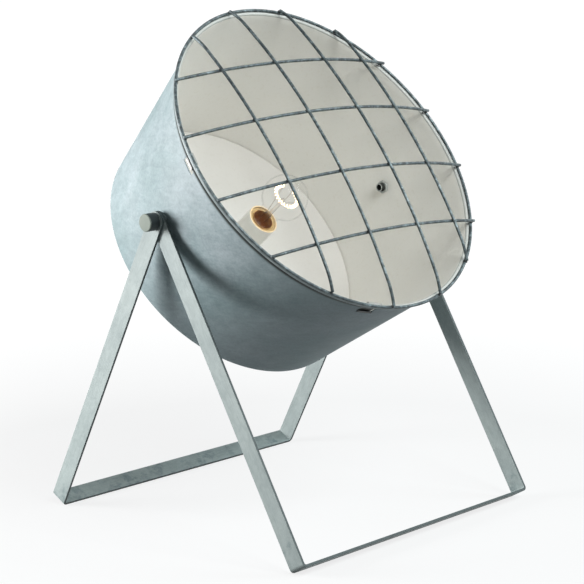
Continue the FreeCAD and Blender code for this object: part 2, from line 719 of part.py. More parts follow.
entry = tube("EntryTube", "Sizes.thread_diameter / 2", "Sizes.thread_bore / 2",
             "Sizes.entry_thread_end - Sizes.holder_foot + Sizes.entry_thread_depth",
             "-Sizes.entry_thread_end")
named(hang_on_shade(entry), "cable_entry_tube")

entry_washer = tube("EntryWasher", "Sizes.washer_diameter / 2", "Sizes.running_radius",
                    "Sizes.washer_thickness", "-Sizes.entry_nut_start")
named(hang_on_shade(entry_washer), "cable_entry_washer")

entry_nut_body = hexagon("entry_nut_body", "Sizes.nut_radius", "Sizes.entry_nut_height",
                         "-Sizes.entry_nut_end")
entry_nut_bore = cylinder("entry_nut_bore", "Sizes.running_radius", "3 * Sizes.entry_nut_height",
                          "-(Sizes.entry_nut_end + Sizes.entry_nut_height)")
named(hang_on_shade(cut("EntryNut", entry_nut_body, entry_nut_bore)), "cable_entry_locknut")

grip = turned_piece("CordGrip", [
    ("Sizes.running_radius", "-Sizes.entry_nut_end"),
    ("Sizes.grip_radius", "-Sizes.entry_nut_end"),
    ("Sizes.grip_radius", "-(Sizes.grip_end - Sizes.grip_edge)"),
    ("Sizes.grip_radius - Sizes.grip_edge", "-Sizes.grip_end"),
    ("Sizes.thread_bore / 2", "-Sizes.grip_end"),
    ("Sizes.thread_bore / 2", "-(Sizes.grip_end - Sizes.grip_lip)"),
    ("Sizes.running_radius", "-(Sizes.grip_end - Sizes.grip_lip)"),
])
named(hang_on_shade(grip), "cord_grip")

# Bulb: glass envelope, screw cap, insulator and tip, stem, supports and filament


def envelope(name, globe, neck, foot, waist):
    """A globe on a neck with a smooth waist between them, as one solid."""
    ball = doc.addObject("Part::Sphere", f"{name}_globe")
    ball.setExpression("Radius", globe)
    ball.setExpression("Placement.Base.z", "Sizes.globe_centre")
    stalk = cylinder(f"{name}_neck", neck, f"Sizes.globe_centre + {foot}", f"-{foot}")
    joined = fuse(f"{name}_joined", [ball, stalk])
    doc.recompute()
    circles = [(edge.CenterOfMass.z, number)
               for number, edge in enumerate(joined.Shape.Edges, start=1)
               if not edge.Degenerated and edge.isClosed()]
    feature = doc.addObject("Part::Fillet", name)
    feature.Base = joined
    feature.Edges = [(max(circles)[1], waist, waist)]
    return feature


outside = envelope("GlassOutside", "Sizes.bulb_radius", "Sizes.bulb_neck_radius", "Sizes.neck_end",
                   size("bulb_waist_radius"))
inside = envelope("GlassInside", "Sizes.bulb_radius - Sizes.glass_thickness",
                  "Sizes.bulb_neck_radius - Sizes.glass_thickness",
                  "(Sizes.neck_end + Sizes.glass_thickness)",
                  size("bulb_waist_radius") + size("glass_thickness"))
named(hang_on_shade(cut("BulbGlass", outside, inside)), "bulb_glass")

bulb_cap = turned_piece("BulbCap", [
    ("Sizes.bulb_cap_radius", "-Sizes.cap_rim"),
    ("Sizes.bulb_cap_radius - Sizes.bulb_cap_wall", "-Sizes.cap_rim"),
    ("Sizes.bulb_cap_radius - Sizes.bulb_cap_wall", "-(Sizes.cap_shoulder - Sizes.bulb_cap_wall)"),
    ("Sizes.bulb_cap_end_radius - Sizes.bulb_cap_wall", "-(Sizes.cap_end - Sizes.bulb_cap_wall)"),
    ("Sizes.bulb_cap_end_radius - Sizes.bulb_cap_wall", "-Sizes.cap_end"),
    ("Sizes.bulb_cap_end_radius", "-Sizes.cap_end"),
    ("Sizes.bulb_cap_radius", "-Sizes.cap_shoulder"),
])
named(hang_on_shade(bulb_cap), "bulb_cap")

insulator = turned_piece("BulbInsulator", [
    ("0", "-Sizes.cap_end"),
    ("Sizes.bulb_cap_end_radius", "-Sizes.cap_end"),
    ("Sizes.bulb_tip_radius", "-Sizes.insulator_end"),
    ("0", "-Sizes.insulator_end"),
])
named(hang_on_shade(insulator), "bulb_insulator")

bulb_tip = turned_piece("BulbTip", [
    ("0", "-Sizes.insulator_end"),
    ("Sizes.bulb_tip_radius", "-Sizes.insulator_end"),
    ("Sizes.bulb_tip_radius", "-Sizes.bulb_tip"),
    ("0", "-Sizes.bulb_tip"),
])
named(hang_on_shade(bulb_tip), "bulb_contact_tip")

stem = turned_piece("BulbStem", [
    ("0", "-Sizes.stem_foot"),
    ("Sizes.stem_flare_radius", "-Sizes.stem_foot"),
    ("Sizes.stem_flare_radius", "-Sizes.stem_flare"),
    ("Sizes.stem_tube_radius", "-(Sizes.stem_flare - Sizes.stem_flare_height)"),
    ("Sizes.stem_tube_radius", "-Sizes.pinch_start"),
    ("Sizes.stem_rod_radius", "-Sizes.pinch_end"),
    ("Sizes.stem_rod_radius", "Sizes.button_level - Sizes.stem_button_radius"),
    ("Sizes.stem_button_radius", "Sizes.button_level"),
    ("Sizes.stem_rod_radius", "Sizes.rod_end"),
    ("0", "Sizes.rod_end"),
])
named(hang_on_shade(stem), "bulb_stem")

filament = doc.addObject("Part::Torus", "Filament")
filament.Placement = FreeCAD.Placement(FreeCAD.Vector(), FreeCAD.Rotation(Z_AXIS, 1))
filament.setExpression("Radius1", "Sizes.filament_radius")
filament.setExpression("Radius2", "Sizes.filament_thickness / 2")
filament.setExpression("Angle3", "360 - Sizes.filament_gap")
filament.setExpression("Placement.Base.z", "Sizes.filament_level")
filament.setExpression("Placement.Rotation.Angle",
                       "Sizes.filament_gap_place + Sizes.filament_gap / 2")
named(hang_on_shade(group("FilamentPiece", [filament])), "bulb_filament")


def wire_between(name, start, end):
    """A thin straight support wire from one point to another."""
    feature = doc.addObject("Part::Feature", name)
    span = end - start
    feature.Shape = Part.makeCylinder(size("support_diameter") / 2, span.Length, start, span)
    return feature


def around(radius, angle, level):
    """A point at this radius and angle about the lamp's axis."""
    turn = math.radians(angle)
    return FreeCAD.Vector(radius * math.cos(turn), radius * math.sin(turn), level)


def hold_filament(name, foot, angle):
    """A support wire from its foot to the inside of the filament at this angle."""
    top = around(size("support_reach"), angle, size("filament_level"))
    return wire_between(name, foot, top)


supports = []
gap_place = size("filament_gap_place")
count = int(size("support_count"))
for number in range(1, count + 1):
    angle = gap_place + 360 * number / (count + 1)
    foot = around(size("button_reach"), angle, size("button_level"))
    supports.append(hold_filament(f"support_{number}", foot, angle))
for side, word in ((-1, "left"), (1, "right")):
    foot = around(size("lead_spacing") / 2, gap_place + 90 * side, -size("lead_foot"))
    angle = gap_place + side * size("filament_gap") / 2
    supports.append(hold_filament(f"{word}_lead", foot, angle))
named(hang_on_shade(group("Supports", supports)), "bulb_support_wires")

# Every piece is checked before any is written

doc.recompute()
failed = [item.Name for item in doc.Objects if {"Invalid", "Error"} & set(item.State)]
if failed:
    raise RuntimeError(f"these did not build: {failed}")
for piece in finished:
    if piece.Shape.isNull() or not piece.Shape.isValid():
        raise RuntimeError(f"{piece.Label} has no valid shape")

os.makedirs("parts", exist_ok=True)
for piece in finished:
    piece.Shape.exportStep(f"parts/{piece.Label}.step")
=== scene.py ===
import math

import bmesh
import bpy
import numpy as np
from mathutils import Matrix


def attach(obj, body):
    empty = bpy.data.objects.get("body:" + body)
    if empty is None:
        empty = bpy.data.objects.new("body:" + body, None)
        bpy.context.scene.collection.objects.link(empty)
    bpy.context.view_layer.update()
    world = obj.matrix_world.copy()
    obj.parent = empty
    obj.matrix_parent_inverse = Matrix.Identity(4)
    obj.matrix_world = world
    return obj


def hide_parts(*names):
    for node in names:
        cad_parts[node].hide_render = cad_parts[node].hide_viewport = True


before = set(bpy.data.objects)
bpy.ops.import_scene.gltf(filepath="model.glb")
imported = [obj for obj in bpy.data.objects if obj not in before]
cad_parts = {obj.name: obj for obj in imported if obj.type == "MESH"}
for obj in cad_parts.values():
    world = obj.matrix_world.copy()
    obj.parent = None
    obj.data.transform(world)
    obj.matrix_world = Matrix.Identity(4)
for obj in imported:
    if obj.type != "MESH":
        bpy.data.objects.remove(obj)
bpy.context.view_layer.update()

# Tabletop searchlight lamp. The lamp's own sizes below are in millimetres, as a maker reads
# them off the bench; every surface is worked out in them and put into metres at the end.

MM = 0.001
PIVOT = np.array([0.0, 9.352, 353.7])
TILT = math.radians(38.3)
SIDE = np.array([1.0, 0.0, 0.0])
UP = np.array([0.0, math.sin(TILT), math.cos(TILT)])
AIM = np.array([0.0, -math.cos(TILT), math.sin(TILT)])

SHEET = 1.0
MOUTH_RADIUS, MOUTH_REACH = 195.6, 95.1
BACK_RADIUS, BACK_REACH = 166.4, 100.4
WALL_SLOPE = (MOUTH_RADIUS - BACK_RADIUS) / (MOUTH_REACH + BACK_REACH)
BACK_FACE = 95.6
# Painted shade: where the near-black band behind the bead starts along the aim, and how far it
# fades.
GROOVE_SHADE_START, GROOVE_SHADE_WIDTH = 84.0, 5.0
BEAD = 2.5
BEAD_CENTRE = MOUTH_RADIUS - SHEET + BEAD
WIRE, WELD_GAP = 1.75, 0.1
RING_RADIUS = 199.5
RING_PLANE = MOUTH_REACH + math.sqrt((WIRE + BEAD + WELD_GAP) ** 2
                                     - (RING_RADIUS - BEAD_CENTRE) ** 2)
WIRE_LEVEL = RING_PLANE + 2 * WIRE + WELD_GAP
LEVEL_OVERHANG, UPRIGHT_OVERHANG, UPRIGHT_DROP = 3.0, 0.5, 26.0
DOME_HEIGHT = 27.6
DOME_RADIUS = (RING_RADIUS ** 2 + DOME_HEIGHT ** 2) / (2 * DOME_HEIGHT)
CROSSING_STEP = 3.7
LEVEL_WIRES = (-113.8, -39.3, 39.7, 111.6)
UPRIGHT_WIRES = (-110.5, -34.45, 45.25, 116.9)
CLIP_ANGLES = (175.3, 254.0)
SLOT_LOWS, CLIP_TAILS, CLIP_HALVES = (80.0, 75.0), (85.3, 76.6), (7.0, 9.4)
SLOT_HIGH, SLOT_HALF = 86.0, 10.0
CLIP_TOP, CLIP_THICK = RING_PLANE - 1.2, 0.8
WALL_AT_PIVOT = MOUTH_RADIUS - MOUTH_REACH * WALL_SLOPE
BAR_WIDTH, BAR_THICK, BEND = 22.0, 3.0, 5.0
FRONT_HALF = WALL_AT_PIVOT + 5.4 + BAR_THICK
REAR_HALF = FRONT_HALF + BAR_THICK + 0.2
REAR_LEAN, FRONT_LEAN = math.radians(28.0), math.radians(30.4)
HOLE, TUBE_BORE, TUBE_RADIUS = 5.06, 3.5, 5.0
NUT_HALF, NUT_CORNER, WASHER_RADIUS = 7.0, 8.08, 8.5
KNOB_RADIUS, KNOB_START, KNOB_END = 9.75, 194.2, 207.7
HOLDER_RADIUS, HOLDER_BORE, HOLDER_MOUTH = 18.8, 17.2, -35.0
GLOBE_RADIUS, GLOBE_LEVEL = 27.5, 10.0
NECK_RADIUS, WAIST_RADIUS, NECK_FOOT = 12.6, 26.0, -46.0
LOOP_LEVEL = 13.0


# Places: from a piece's own coordinates to the lamp's, in metres

def on_shade(across, up, along):
    """Point of the shade: pivot + across * side + up * the shade's up + along * its aim."""
    point = (PIVOT + np.multiply.outer(across, SIDE) + np.multiply.outer(up, UP)
             + np.multiply.outer(along, AIM))
    return point * MM


def on_pin(side):
    """Places a piece turned about the pivot line, with its along counted outward on one side."""
    def place(across, up, along):
        point = PIVOT + np.stack([side * along, -side * across, up], axis=-1)
        return point * MM
    return place


# Shapes

def grid(rows, columns, wrap_rows, wrap_columns):
    """Quads of a grid of points kept row by row; a wrapped side joins its end to its start."""
    row = np.arange(rows if wrap_rows else rows - 1)[:, None]
    column = np.arange(columns if wrap_columns else columns - 1)[None, :]
    below, beside = (row + 1) % rows, (column + 1) % columns
    return np.stack([row * columns + column, row * columns + beside,
                     below * columns + beside, below * columns + column], axis=-1).reshape(-1, 4)


def piece(name, points, faces, finishes, body, nodes):
    """A smooth mesh object in the lamp's frame, riding on a body and standing for its CAD nodes."""
    mesh = bpy.data.meshes.new(name)
    mesh.from_pydata(points.tolist(), [], faces)
    mesh.polygons.foreach_set("use_smooth", np.full(len(mesh.polygons), True))
    obj = bpy.data.objects.new(name, mesh)
    bpy.context.scene.collection.objects.link(obj)
    for finish in finishes:
        mesh.materials.append(finish)
    face_outward(obj)
    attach(obj, body)
    if nodes:
        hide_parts(*nodes)
    return obj


def face_outward(obj):
    """Merges a mesh's doubled points, then points all its faces out of the piece."""
    work = bmesh.new()
    work.from_mesh(obj.data)
    bmesh.ops.remove_doubles(work, verts=work.verts, dist=1e-7)
    bmesh.ops.recalc_face_normals(work, faces=work.faces)
    work.to_mesh(obj.data)
    work.free()


def finish_by_place(obj, number):
    """Gives each face the finish whose number is worked out from the face's centre."""
    centres = np.empty(len(obj.data.polygons) * 3)
    obj.data.polygons.foreach_get("center", centres)
    numbers = number(centres.reshape(-1, 3)).astype(int)
    obj.data.polygons.foreach_set("material_index", numbers)


def along_aim(centre):
    """How far points in metres lie along the aim, in millimetres."""
    return (centre / MM - PIVOT) @ AIM


def from_aim(centre):
    """How far points in metres lie from the aim's line, in millimetres."""
    return np.linalg.norm(np.cross(centre / MM - PIVOT, AIM), axis=1)


def from_pin(centre):
    """How far points in metres lie from the pivot line, in millimetres."""
    return np.hypot(*(centre / MM - PIVOT)[:, 1:].T)


def softened(corners, radius, steps=4, closed=True):
    """Rounds a profile's corners: each becomes the parabola from radius before it to radius after
    it, never past 45 hundredths of a side. An open profile keeps its two ends."""
    corners = np.asarray(corners, float)
    before, after = np.roll(corners, 1, axis=0) - corners, np.roll(corners, -1, axis=0) - corners
    reach = [np.minimum(radius, 0.45 * np.linalg.norm(way, axis=1))[:, None]
             / np.maximum(np.linalg.norm(way, axis=1), 1e-9)[:, None] for way in (before, after)]
    start, end = corners + before * reach[0], corners + after * reach[1]
    t = np.linspace(0, 1, steps)[None, :, None]
    curve = ((1 - t) ** 2 * start[:, None] + 2 * t * (1 - t) * corners[:, None]
             + t ** 2 * end[:, None])
    if closed:
        return curve.reshape(-1, 2)
    return np.concatenate([corners[:1], curve[1:-1].reshape(-1, 2), corners[-1:]])


def turned(profile, place, steps=96, closed=True, shape=None):
    """Turns a profile of (radius, along) about the axis: x = radius * cos, up = radius * sin of
    each angle. A closed profile makes a ring, an open one runs from the axis to the axis. shape
    may narrow the radius as a function of (radius, angle), as a nut's flats do."""
    profile = np.asarray(profile, float)
    turn = np.linspace(0, 2 * np.pi, steps, endpoint=False)
    radius = np.repeat(profile[:, :1], steps, axis=1)
    if shape is not None:
        radius = shape(radius, turn[None, :])
    along = np.repeat(profile[:, 1:], steps, axis=1)
    points = place(radius * np.cos(turn), radius * np.sin(turn), along).reshape(-1, 3)
    return points, grid(len(profile), steps, closed, True).tolist()


def arc(centre, radius, start, end, steps):
    """Points of (radius, along) on a circle between two angles in degrees."""
    turn = np.radians(np.linspace(start, end, steps))
    return np.stack([centre[0] + radius * np.cos(turn), centre[1] + radius * np.sin(turn)], axis=-1)


def piped(path, normal, radius, sides=20):
    """A round wire along a flat path: each point's ring is radius * (cos * normal + sin * the
    cross product of the way and the normal). Its two flat ends have a small chamfer."""
    way = np.gradient(path, axis=0)
    way /= np.linalg.norm(way, axis=1, keepdims=True)
    nib = 0.12 * radius
    path = np.concatenate([path[:1], path[:1] + way[:1] * nib, path[1:-1],
                           path[-1:] - way[-1:] * nib, path[-1:]])
    way = np.concatenate([way[:1], way, way[-1:]])
    widths = np.full(len(path), radius)
    widths[[0, -1]] = 0.85 * radius
    aside = np.cross(way, normal)
    turn = np.linspace(0, 2 * np.pi, sides, endpoint=False)
    rings = path[:, None] + widths[:, None, None] * (
        np.cos(turn)[None, :, None] * normal + np.sin(turn)[None, :, None] * aside[:, None])
    faces = grid(len(path), sides, False, True).tolist()
    faces += [list(range(sides)), list(range((len(path) - 1) * sides, len(path) * sides))]
    return rings.reshape(-1, 3), faces


# Finishes: node materials, placed by Object coordinates or by a bar's own map

def start_finish(name, metallic, roughness):
    """A new material: itself, its nodes, links and shader, and its Object coordinates."""
    material = bpy.data.materials.new(name)
    material.use_nodes = True
    nodes, links = material.node_tree.nodes, material.node_tree.links
    shader = nodes["Principled BSDF"]
    shader.inputs["Metallic"].default_value = metallic
    shader.inputs["Roughness"].default_value = roughness
    place = nodes.new("ShaderNodeTexCoord").outputs["Object"]
    return material, nodes, links, shader, place


def noise(nodes, links, place, scale, detail, rough, stretch=None, swirl=0.0):
    """A cloud of noise from 0 to 1; stretch scales the place first, to draw it out one way."""
    if stretch is not None:
        mapping = nodes.new("ShaderNodeMapping")
        mapping.inputs["Scale"].default_value = stretch
        links.new(place, mapping.inputs["Vector"])
        place = mapping.outputs["Vector"]
    cloud = nodes.new("ShaderNodeTexNoise")
    cloud.inputs["Scale"].default_value = scale
    cloud.inputs["Detail"].default_value = detail
    cloud.inputs["Roughness"].default_value = rough
    cloud.inputs["Distortion"].default_value = swirl
    links.new(place, cloud.inputs["Vector"])
    return cloud.outputs["Fac"]


def ramp(nodes, links, value, stops):
    """A colour for each value: stops are (place, red, green, blue)."""
    node = nodes.new("ShaderNodeValToRGB")
    elements = node.color_ramp.elements
    while len(elements) < len(stops):
        elements.new(0.5)
    for element, (where, *colour) in zip(elements, stops):
        element.position = where
        element.color = (*colour, 1.0)
    links.new(value, node.inputs["Fac"])
    return node.outputs["Color"]


def darkened(nodes, links, colour, layer):
    """A colour multiplied by a layer."""
    node = nodes.new("ShaderNodeMix")
    node.data_type, node.blend_type = "RGBA", "MULTIPLY"
    node.inputs["Factor"].default_value = 1.0
    links.new(colour, node.inputs["A"])
    links.new(layer, node.inputs["B"])
    return node.outputs["Result"]


def spread(nodes, links, value, low, high):
    """A noise's middle reach, from 0.3 to 0.7, drawn out to run from low to high."""
    node = nodes.new("ShaderNodeMapRange")
    node.inputs["From Min"].default_value = 0.3
    node.inputs["From Max"].default_value = 0.7
    node.inputs["To Min"].default_value = low
    node.inputs["To Max"].default_value = high
    links.new(value, node.inputs["Value"])
    return node.outputs["Result"]


def dent(nodes, links, shader, height, strength, distance):
    """A slight relief: the height in shares of a distance in metres."""
    bump = nodes.new("ShaderNodeBump")
    bump.inputs["Strength"].default_value = strength
    bump.inputs["Distance"].default_value = distance
    links.new(height, bump.inputs["Height"])
    links.new(bump.outputs["Normal"], shader.inputs["Normal"])


def dull_zinc(name, dark, light):
    """Dull galvanised sheet: broad clouds, finer blotches, wiped streaks and a faint grain, all
    darkened in a painted shade band against the bead: the reach along the aim is the dot
    product of the place and the aim."""
    material, nodes, links, shader, place = start_finish(name, 0.0, 0.5)
    broad = noise(nodes, links, place, scale=8.0, detail=5.0, rough=0.62)
    blotch = noise(nodes, links, place, scale=48.0, detail=5.0, rough=0.65)
    wiped = noise(nodes, links, place, scale=26.0, detail=4.0, rough=0.6,
                  stretch=(0.7, 1.4, 4.0), swirl=1.6)
    grain = noise(nodes, links, place, scale=420.0, detail=2.0, rough=0.5)
    base = ramp(nodes, links, broad, [(0.32, *dark), (0.68, *light)])
    for value, low in ((blotch, (0.76, 0.79, 0.79)), (wiped, (0.84, 0.85, 0.86)),
                       (grain, (0.88, 0.88, 0.88))):
        layer = ramp(nodes, links, value, [(0.32, *low), (0.62, 1.0, 1.0, 1.0)])
        base = darkened(nodes, links, base, layer)
    reach = nodes.new("ShaderNodeVectorMath")
    reach.operation = "DOT_PRODUCT"
    reach.inputs[1].default_value = AIM.tolist()
    links.new(place, reach.inputs[0])
    # Painted shade: a band that turns near black just behind the bead, standing in for the shade of
    # a groove there.
    groove_shade = nodes.new("ShaderNodeMapRange")
    for socket, value in (("From Min", GROOVE_SHADE_START), ("From Max", GROOVE_SHADE_START + GROOVE_SHADE_WIDTH)):
        groove_shade.inputs[socket].default_value = float(PIVOT @ AIM + value) * MM
    links.new(reach.outputs["Value"], groove_shade.inputs["Value"])
    layer = ramp(nodes, links, groove_shade.outputs["Result"], BEAD_GROOVE_SHADE)
    base = darkened(nodes, links, base, layer)
    links.new(base, shader.inputs["Base Color"])
    rough = nodes.new("ShaderNodeMath")
    rough.operation = "MAXIMUM"
    links.new(spread(nodes, links, blotch, 0.56, 0.7), rough.inputs[0])
    links.new(groove_shade.outputs["Result"], rough.inputs[1])
    links.new(rough.outputs["Value"], shader.inputs["Roughness"])
    dent(nodes, links, shader, broad, 0.12, 0.004)
    return material


def stove_enamel(name, dark, light):
    """Stoved enamel with a faint bloom and dust."""
    material, nodes, links, shader, place = start_finish(name, 0.0, 0.38)
    broad = noise(nodes, links, place, scale=7.0, detail=3.0, rough=0.5)
    speck = noise(nodes, links, place, scale=260.0, detail=3.0, rough=0.6)
    base = ramp(nodes, links, broad, [(0.3, *dark), (0.7, *light)])
    dust = ramp(nodes, links, speck, [(0.25, 0.95, 0.94, 0.92), (0.45, 1.0, 1.0, 1.0)])
    links.new(darkened(nodes, links, base, dust), shader.inputs["Base Color"])
    links.new(spread(nodes, links, broad, 0.32, 0.46), shader.inputs["Roughness"])
    return material


def brushed_bar(name, dark, light):
    """Flat bar brushed along its length, read from the strip's own map: u runs along it. Fine
    lines, a broad stain, a soft darkening in blotches, a few thin scratches and dark patches
    round the feet, where noise + height falls short."""
    material, nodes, links, shader, place = start_finish(name, 0.0, 0.6)
    strip = nodes.new("ShaderNodeUVMap").outputs["UV"]
    lines = noise(nodes, links, strip, scale=90.0, detail=6.0, rough=0.7,
                  stretch=(0.5, 22.0, 1.0), swirl=0.4)
    stain = noise(nodes, links, strip, scale=16.0, detail=5.0, rough=0.62,
                  stretch=(1.0, 1.6, 1.0))
    blotch = noise(nodes, links, strip, scale=95.0, detail=4.0, rough=0.6,
                   stretch=(1.0, 1.3, 1.0), swirl=0.8)
    scratch = noise(nodes, links, strip, scale=34.0, detail=3.0, rough=0.75,
                    stretch=(1.2, 5.0, 1.0), swirl=3.0)
    height = nodes.new("ShaderNodeSeparateXYZ")
    links.new(place, height.inputs["Vector"])
    rise = nodes.new("ShaderNodeMapRange")
    rise.inputs["From Max"].default_value, rise.inputs["To Max"].default_value = 0.09, 0.3
    links.new(height.outputs["Z"], rise.inputs["Value"])
    patch = noise(nodes, links, place, scale=55.0, detail=7.0, rough=0.72)
    feet = nodes.new("ShaderNodeMath")
    links.new(patch, feet.inputs[0])
    links.new(rise.outputs["Result"], feet.inputs[1])
    base = ramp(nodes, links, lines, [(0.3, *dark), (0.68, *light)])
    for value, low, stops in ((stain, (0.78, 0.80, 0.81), (0.34, 0.64)),
                              (feet.outputs["Value"], (0.56, 0.62, 0.64), (0.38, 0.53)),
                              (blotch, (0.88, 0.89, 0.89), (0.34, 0.6)),
                              (scratch, (0.74, 0.76, 0.76), (0.27, 0.35))):
        layer = ramp(nodes, links, value, [(stops[0], *low), (stops[1], 1.0, 1.0, 1.0)])
        base = darkened(nodes, links, base, layer)
    links.new(base, shader.inputs["Base Color"])
    links.new(spread(nodes, links, lines, 0.52, 0.68), shader.inputs["Roughness"])
    dent(nodes, links, shader, lines, 0.2, 0.0004)
    return material


def plain_metal(name, dark, light, metallic, roughness, scale=150.0):
    """A small metal part: one tone with a fine wander and a little wear in its gloss."""
    material, nodes, links, shader, place = start_finish(name, metallic, roughness)
    cloud = noise(nodes, links, place, scale=scale, detail=4.0, rough=0.6)
    links.new(ramp(nodes, links, cloud, [(0.3, *dark), (0.7, *light)]), shader.inputs["Base Color"])
    links.new(spread(nodes, links, cloud, roughness - 0.07, roughness + 0.1),
              shader.inputs["Roughness"])
    return material


def slate_wire(name):
    """Dull zinc wire: dark slate with pale worn patches, drips and a fine pitted grain."""
    material, nodes, links, shader, place = start_finish(name, 0.35, 0.42)
    patch = noise(nodes, links, place, scale=130.0, detail=5.0, rough=0.7)
    drip = noise(nodes, links, place, scale=260.0, detail=3.0, rough=0.6)
    tone = ramp(nodes, links, patch, [(0.34, 0.028, 0.04, 0.044), (0.52, 0.07, 0.095, 0.102),
                                      (0.7, 0.2, 0.25, 0.265)])
    spots = ramp(nodes, links, drip, [(0.34, 0.55, 0.56, 0.58), (0.55, 1.0, 1.0, 1.0)])
    links.new(darkened(nodes, links, tone, spots), shader.inputs["Base Color"])
    links.new(spread(nodes, links, patch, 0.5, 0.32), shader.inputs["Roughness"])
    dent(nodes, links, shader, drip, 0.3, 0.0004)
    return material


def plain_moulding(name, dark, light, roughness):
    """Moulded plastic or ceramic with a faint tone change and fine texture."""
    material, nodes, links, shader, place = start_finish(name, 0.0, roughness)
    cloud = noise(nodes, links, place, scale=90.0, detail=3.0, rough=0.5)
    texture = noise(nodes, links, place, scale=900.0, detail=2.0, rough=0.5)
    links.new(ramp(nodes, links, cloud, [(0.3, *dark), (0.7, *light)]), shader.inputs["Base Color"])
    dent(nodes, links, shader, texture, 0.15, 0.0002)
    return material


def clear_glass(name, tint, bending, thinness):
    """Thin clear glass: a share, its thinness, of what is behind it passes straight, and all
    lamp light does."""
    material, nodes, links, shader, place = start_finish(name, 0.0, 0.0)
    shader.inputs["Transmission Weight"].default_value = 1.0
    shader.inputs["IOR"].default_value = bending
    shader.inputs["Coat Weight"].default_value = 0.4
    shader.inputs["Coat Roughness"].default_value = 0.02
    haze = noise(nodes, links, place, scale=40.0, detail=2.0, rough=0.5)
    pale = tuple(0.5 + 0.5 * part for part in tint)
    links.new(ramp(nodes, links, haze, [(0.3, *tint), (0.7, *pale)]), shader.inputs["Base Color"])
    clear = nodes.new("ShaderNodeBsdfTransparent")
    path = nodes.new("ShaderNodeLightPath")
    most = nodes.new("ShaderNodeMath")
    most.operation = "MAXIMUM"
    most.inputs[1].default_value = thinness
    links.new(path.outputs["Is Shadow Ray"], most.inputs[0])
    mix = nodes.new("ShaderNodeMixShader")
    links.new(most.outputs["Value"], mix.inputs["Fac"])
    links.new(shader.outputs["BSDF"], mix.inputs[1])
    links.new(clear.outputs["BSDF"], mix.inputs[2])
    links.new(mix.outputs["Shader"], nodes["Material Output"].inputs["Surface"])
    return material


def glowing(name, colour, strength):
    """A hot filament."""
    material, nodes, links, shader, place = start_finish(name, 0.3, 0.5)
    cloud = noise(nodes, links, place, scale=600.0, detail=2.0, rough=0.5)
    links.new(ramp(nodes, links, cloud, [(0.3, *colour), (0.7, 1.0, 0.9, 0.7)]),
              shader.inputs["Base Color"])
    shader.inputs["Emission Color"].default_value = (*colour, 1.0)
    shader.inputs["Emission Strength"].default_value = strength
    return material


# Painted shade behind the bead: no darkening away from it, near black next to it.
BEAD_GROOVE_SHADE = [(0.0, 1.0, 1.0, 1.0), (0.3, 0.72, 0.75, 0.74), (0.6, 0.04, 0.055, 0.048),
         (1.0, 0.01, 0.016, 0.013)]
ZINC = dull_zinc("dull_zinc_sheet", (0.24, 0.33, 0.345), (0.41, 0.485, 0.515))
# The rolled bead gets a zinc darker than the wall sheet it is rolled from.
BEAD_ZINC = plain_metal("darker_bead_zinc", (0.16, 0.20, 0.205), (0.33, 0.38, 0.385), 0.2, 0.5, 60.0)
# Painted shade: a near-black finish for the bead's rear faces, where shade falls behind the rolled
# edge.
BEAD_REAR_SHADE = plain_metal("painted_shade_behind_bead", (0.015, 0.024, 0.024), (0.04, 0.055, 0.054), 0.1, 0.7, 70.0)
ENAMEL = stove_enamel("cream_enamel", (0.785, 0.77, 0.728), (0.825, 0.81, 0.768))
# Painted shade: a darker copy of the cream enamel for the bead's inner half.
SHADED_BEAD_ENAMEL = stove_enamel("enamel_inside_bead_painted_shade", (0.40, 0.41, 0.39), (0.46, 0.47, 0.45))
# Painted shade: a dark copy of the cream enamel for the clips' lips inside the mouth.
SHADED_CLIP_LIP = stove_enamel("enamelled_clip_lip_painted_shade", (0.25, 0.25, 0.236), (0.28, 0.28, 0.265))
# Painted shade: a darker copy of the cream enamel for the back panel.
SHADED_PANEL_ENAMEL = stove_enamel("cream_enamel_panel_painted_shade", (0.50, 0.482, 0.455), (0.54, 0.522, 0.495))
BAR = brushed_bar("brushed_zinc_bar", (0.27, 0.325, 0.32), (0.42, 0.485, 0.48))
# Painted shade: a near-black finish for the bars' thin edges.
SHADED_BAR_EDGE = plain_metal("bar_edge_painted_shade", (0.022, 0.033, 0.034), (0.06, 0.08, 0.082), 0.1, 0.55,
                       120.0)
SLATE_WIRE = slate_wire("slate_zinc_wire")
WELD = plain_metal("burnt_weld", (0.012, 0.014, 0.016), (0.04, 0.045, 0.048), 0.2, 0.6, 400.0)
SPRING = plain_metal("dull_spring_steel", (0.32, 0.34, 0.33), (0.52, 0.54, 0.52), 0.8, 0.3)
# Painted shade: a near-black copy of the spring steel for the clip on the shade's underside.
SHADED_SPRING = plain_metal("spring_steel_painted_shade", (0.03, 0.035, 0.034), (0.08, 0.09, 0.088),
                          0.2, 0.5)
KNOB_FACE = plain_metal("satin_knob_face", (0.155, 0.185, 0.16), (0.205, 0.24, 0.21), 0.1, 0.65)
# Painted dark reflection: a near-black copy of the knob's metal for its round side.
SHADED_KNOB_SIDE = plain_metal("knob_side_painted_shade", (0.006, 0.01, 0.011), (0.018, 0.026, 0.028), 0.1, 0.45)
# Painted shade: a near-black finish for the pivot tubes' bore and outer thread.
BORE_AND_THREAD_SHADE = plain_metal("bore_and_thread_painted_shade", (0.003, 0.004, 0.003), (0.012, 0.014, 0.012), 0.1, 0.7)
PLATED = plain_metal("plated_fitting", (0.36, 0.38, 0.37), (0.52, 0.54, 0.53), 0.7, 0.34)
BRASS = plain_metal("plain_brass", (0.42, 0.27, 0.09), (0.56, 0.38, 0.16), 0.3, 0.5)
CAP_METAL = plain_metal("bulb_cap_metal", (0.13, 0.03, 0.009), (0.44, 0.18, 0.06), 0.0, 0.6,
                        260.0)
HOLDER_WHITE = plain_moulding("holder_white", (0.72, 0.70, 0.665), (0.78, 0.76, 0.725), 0.35)
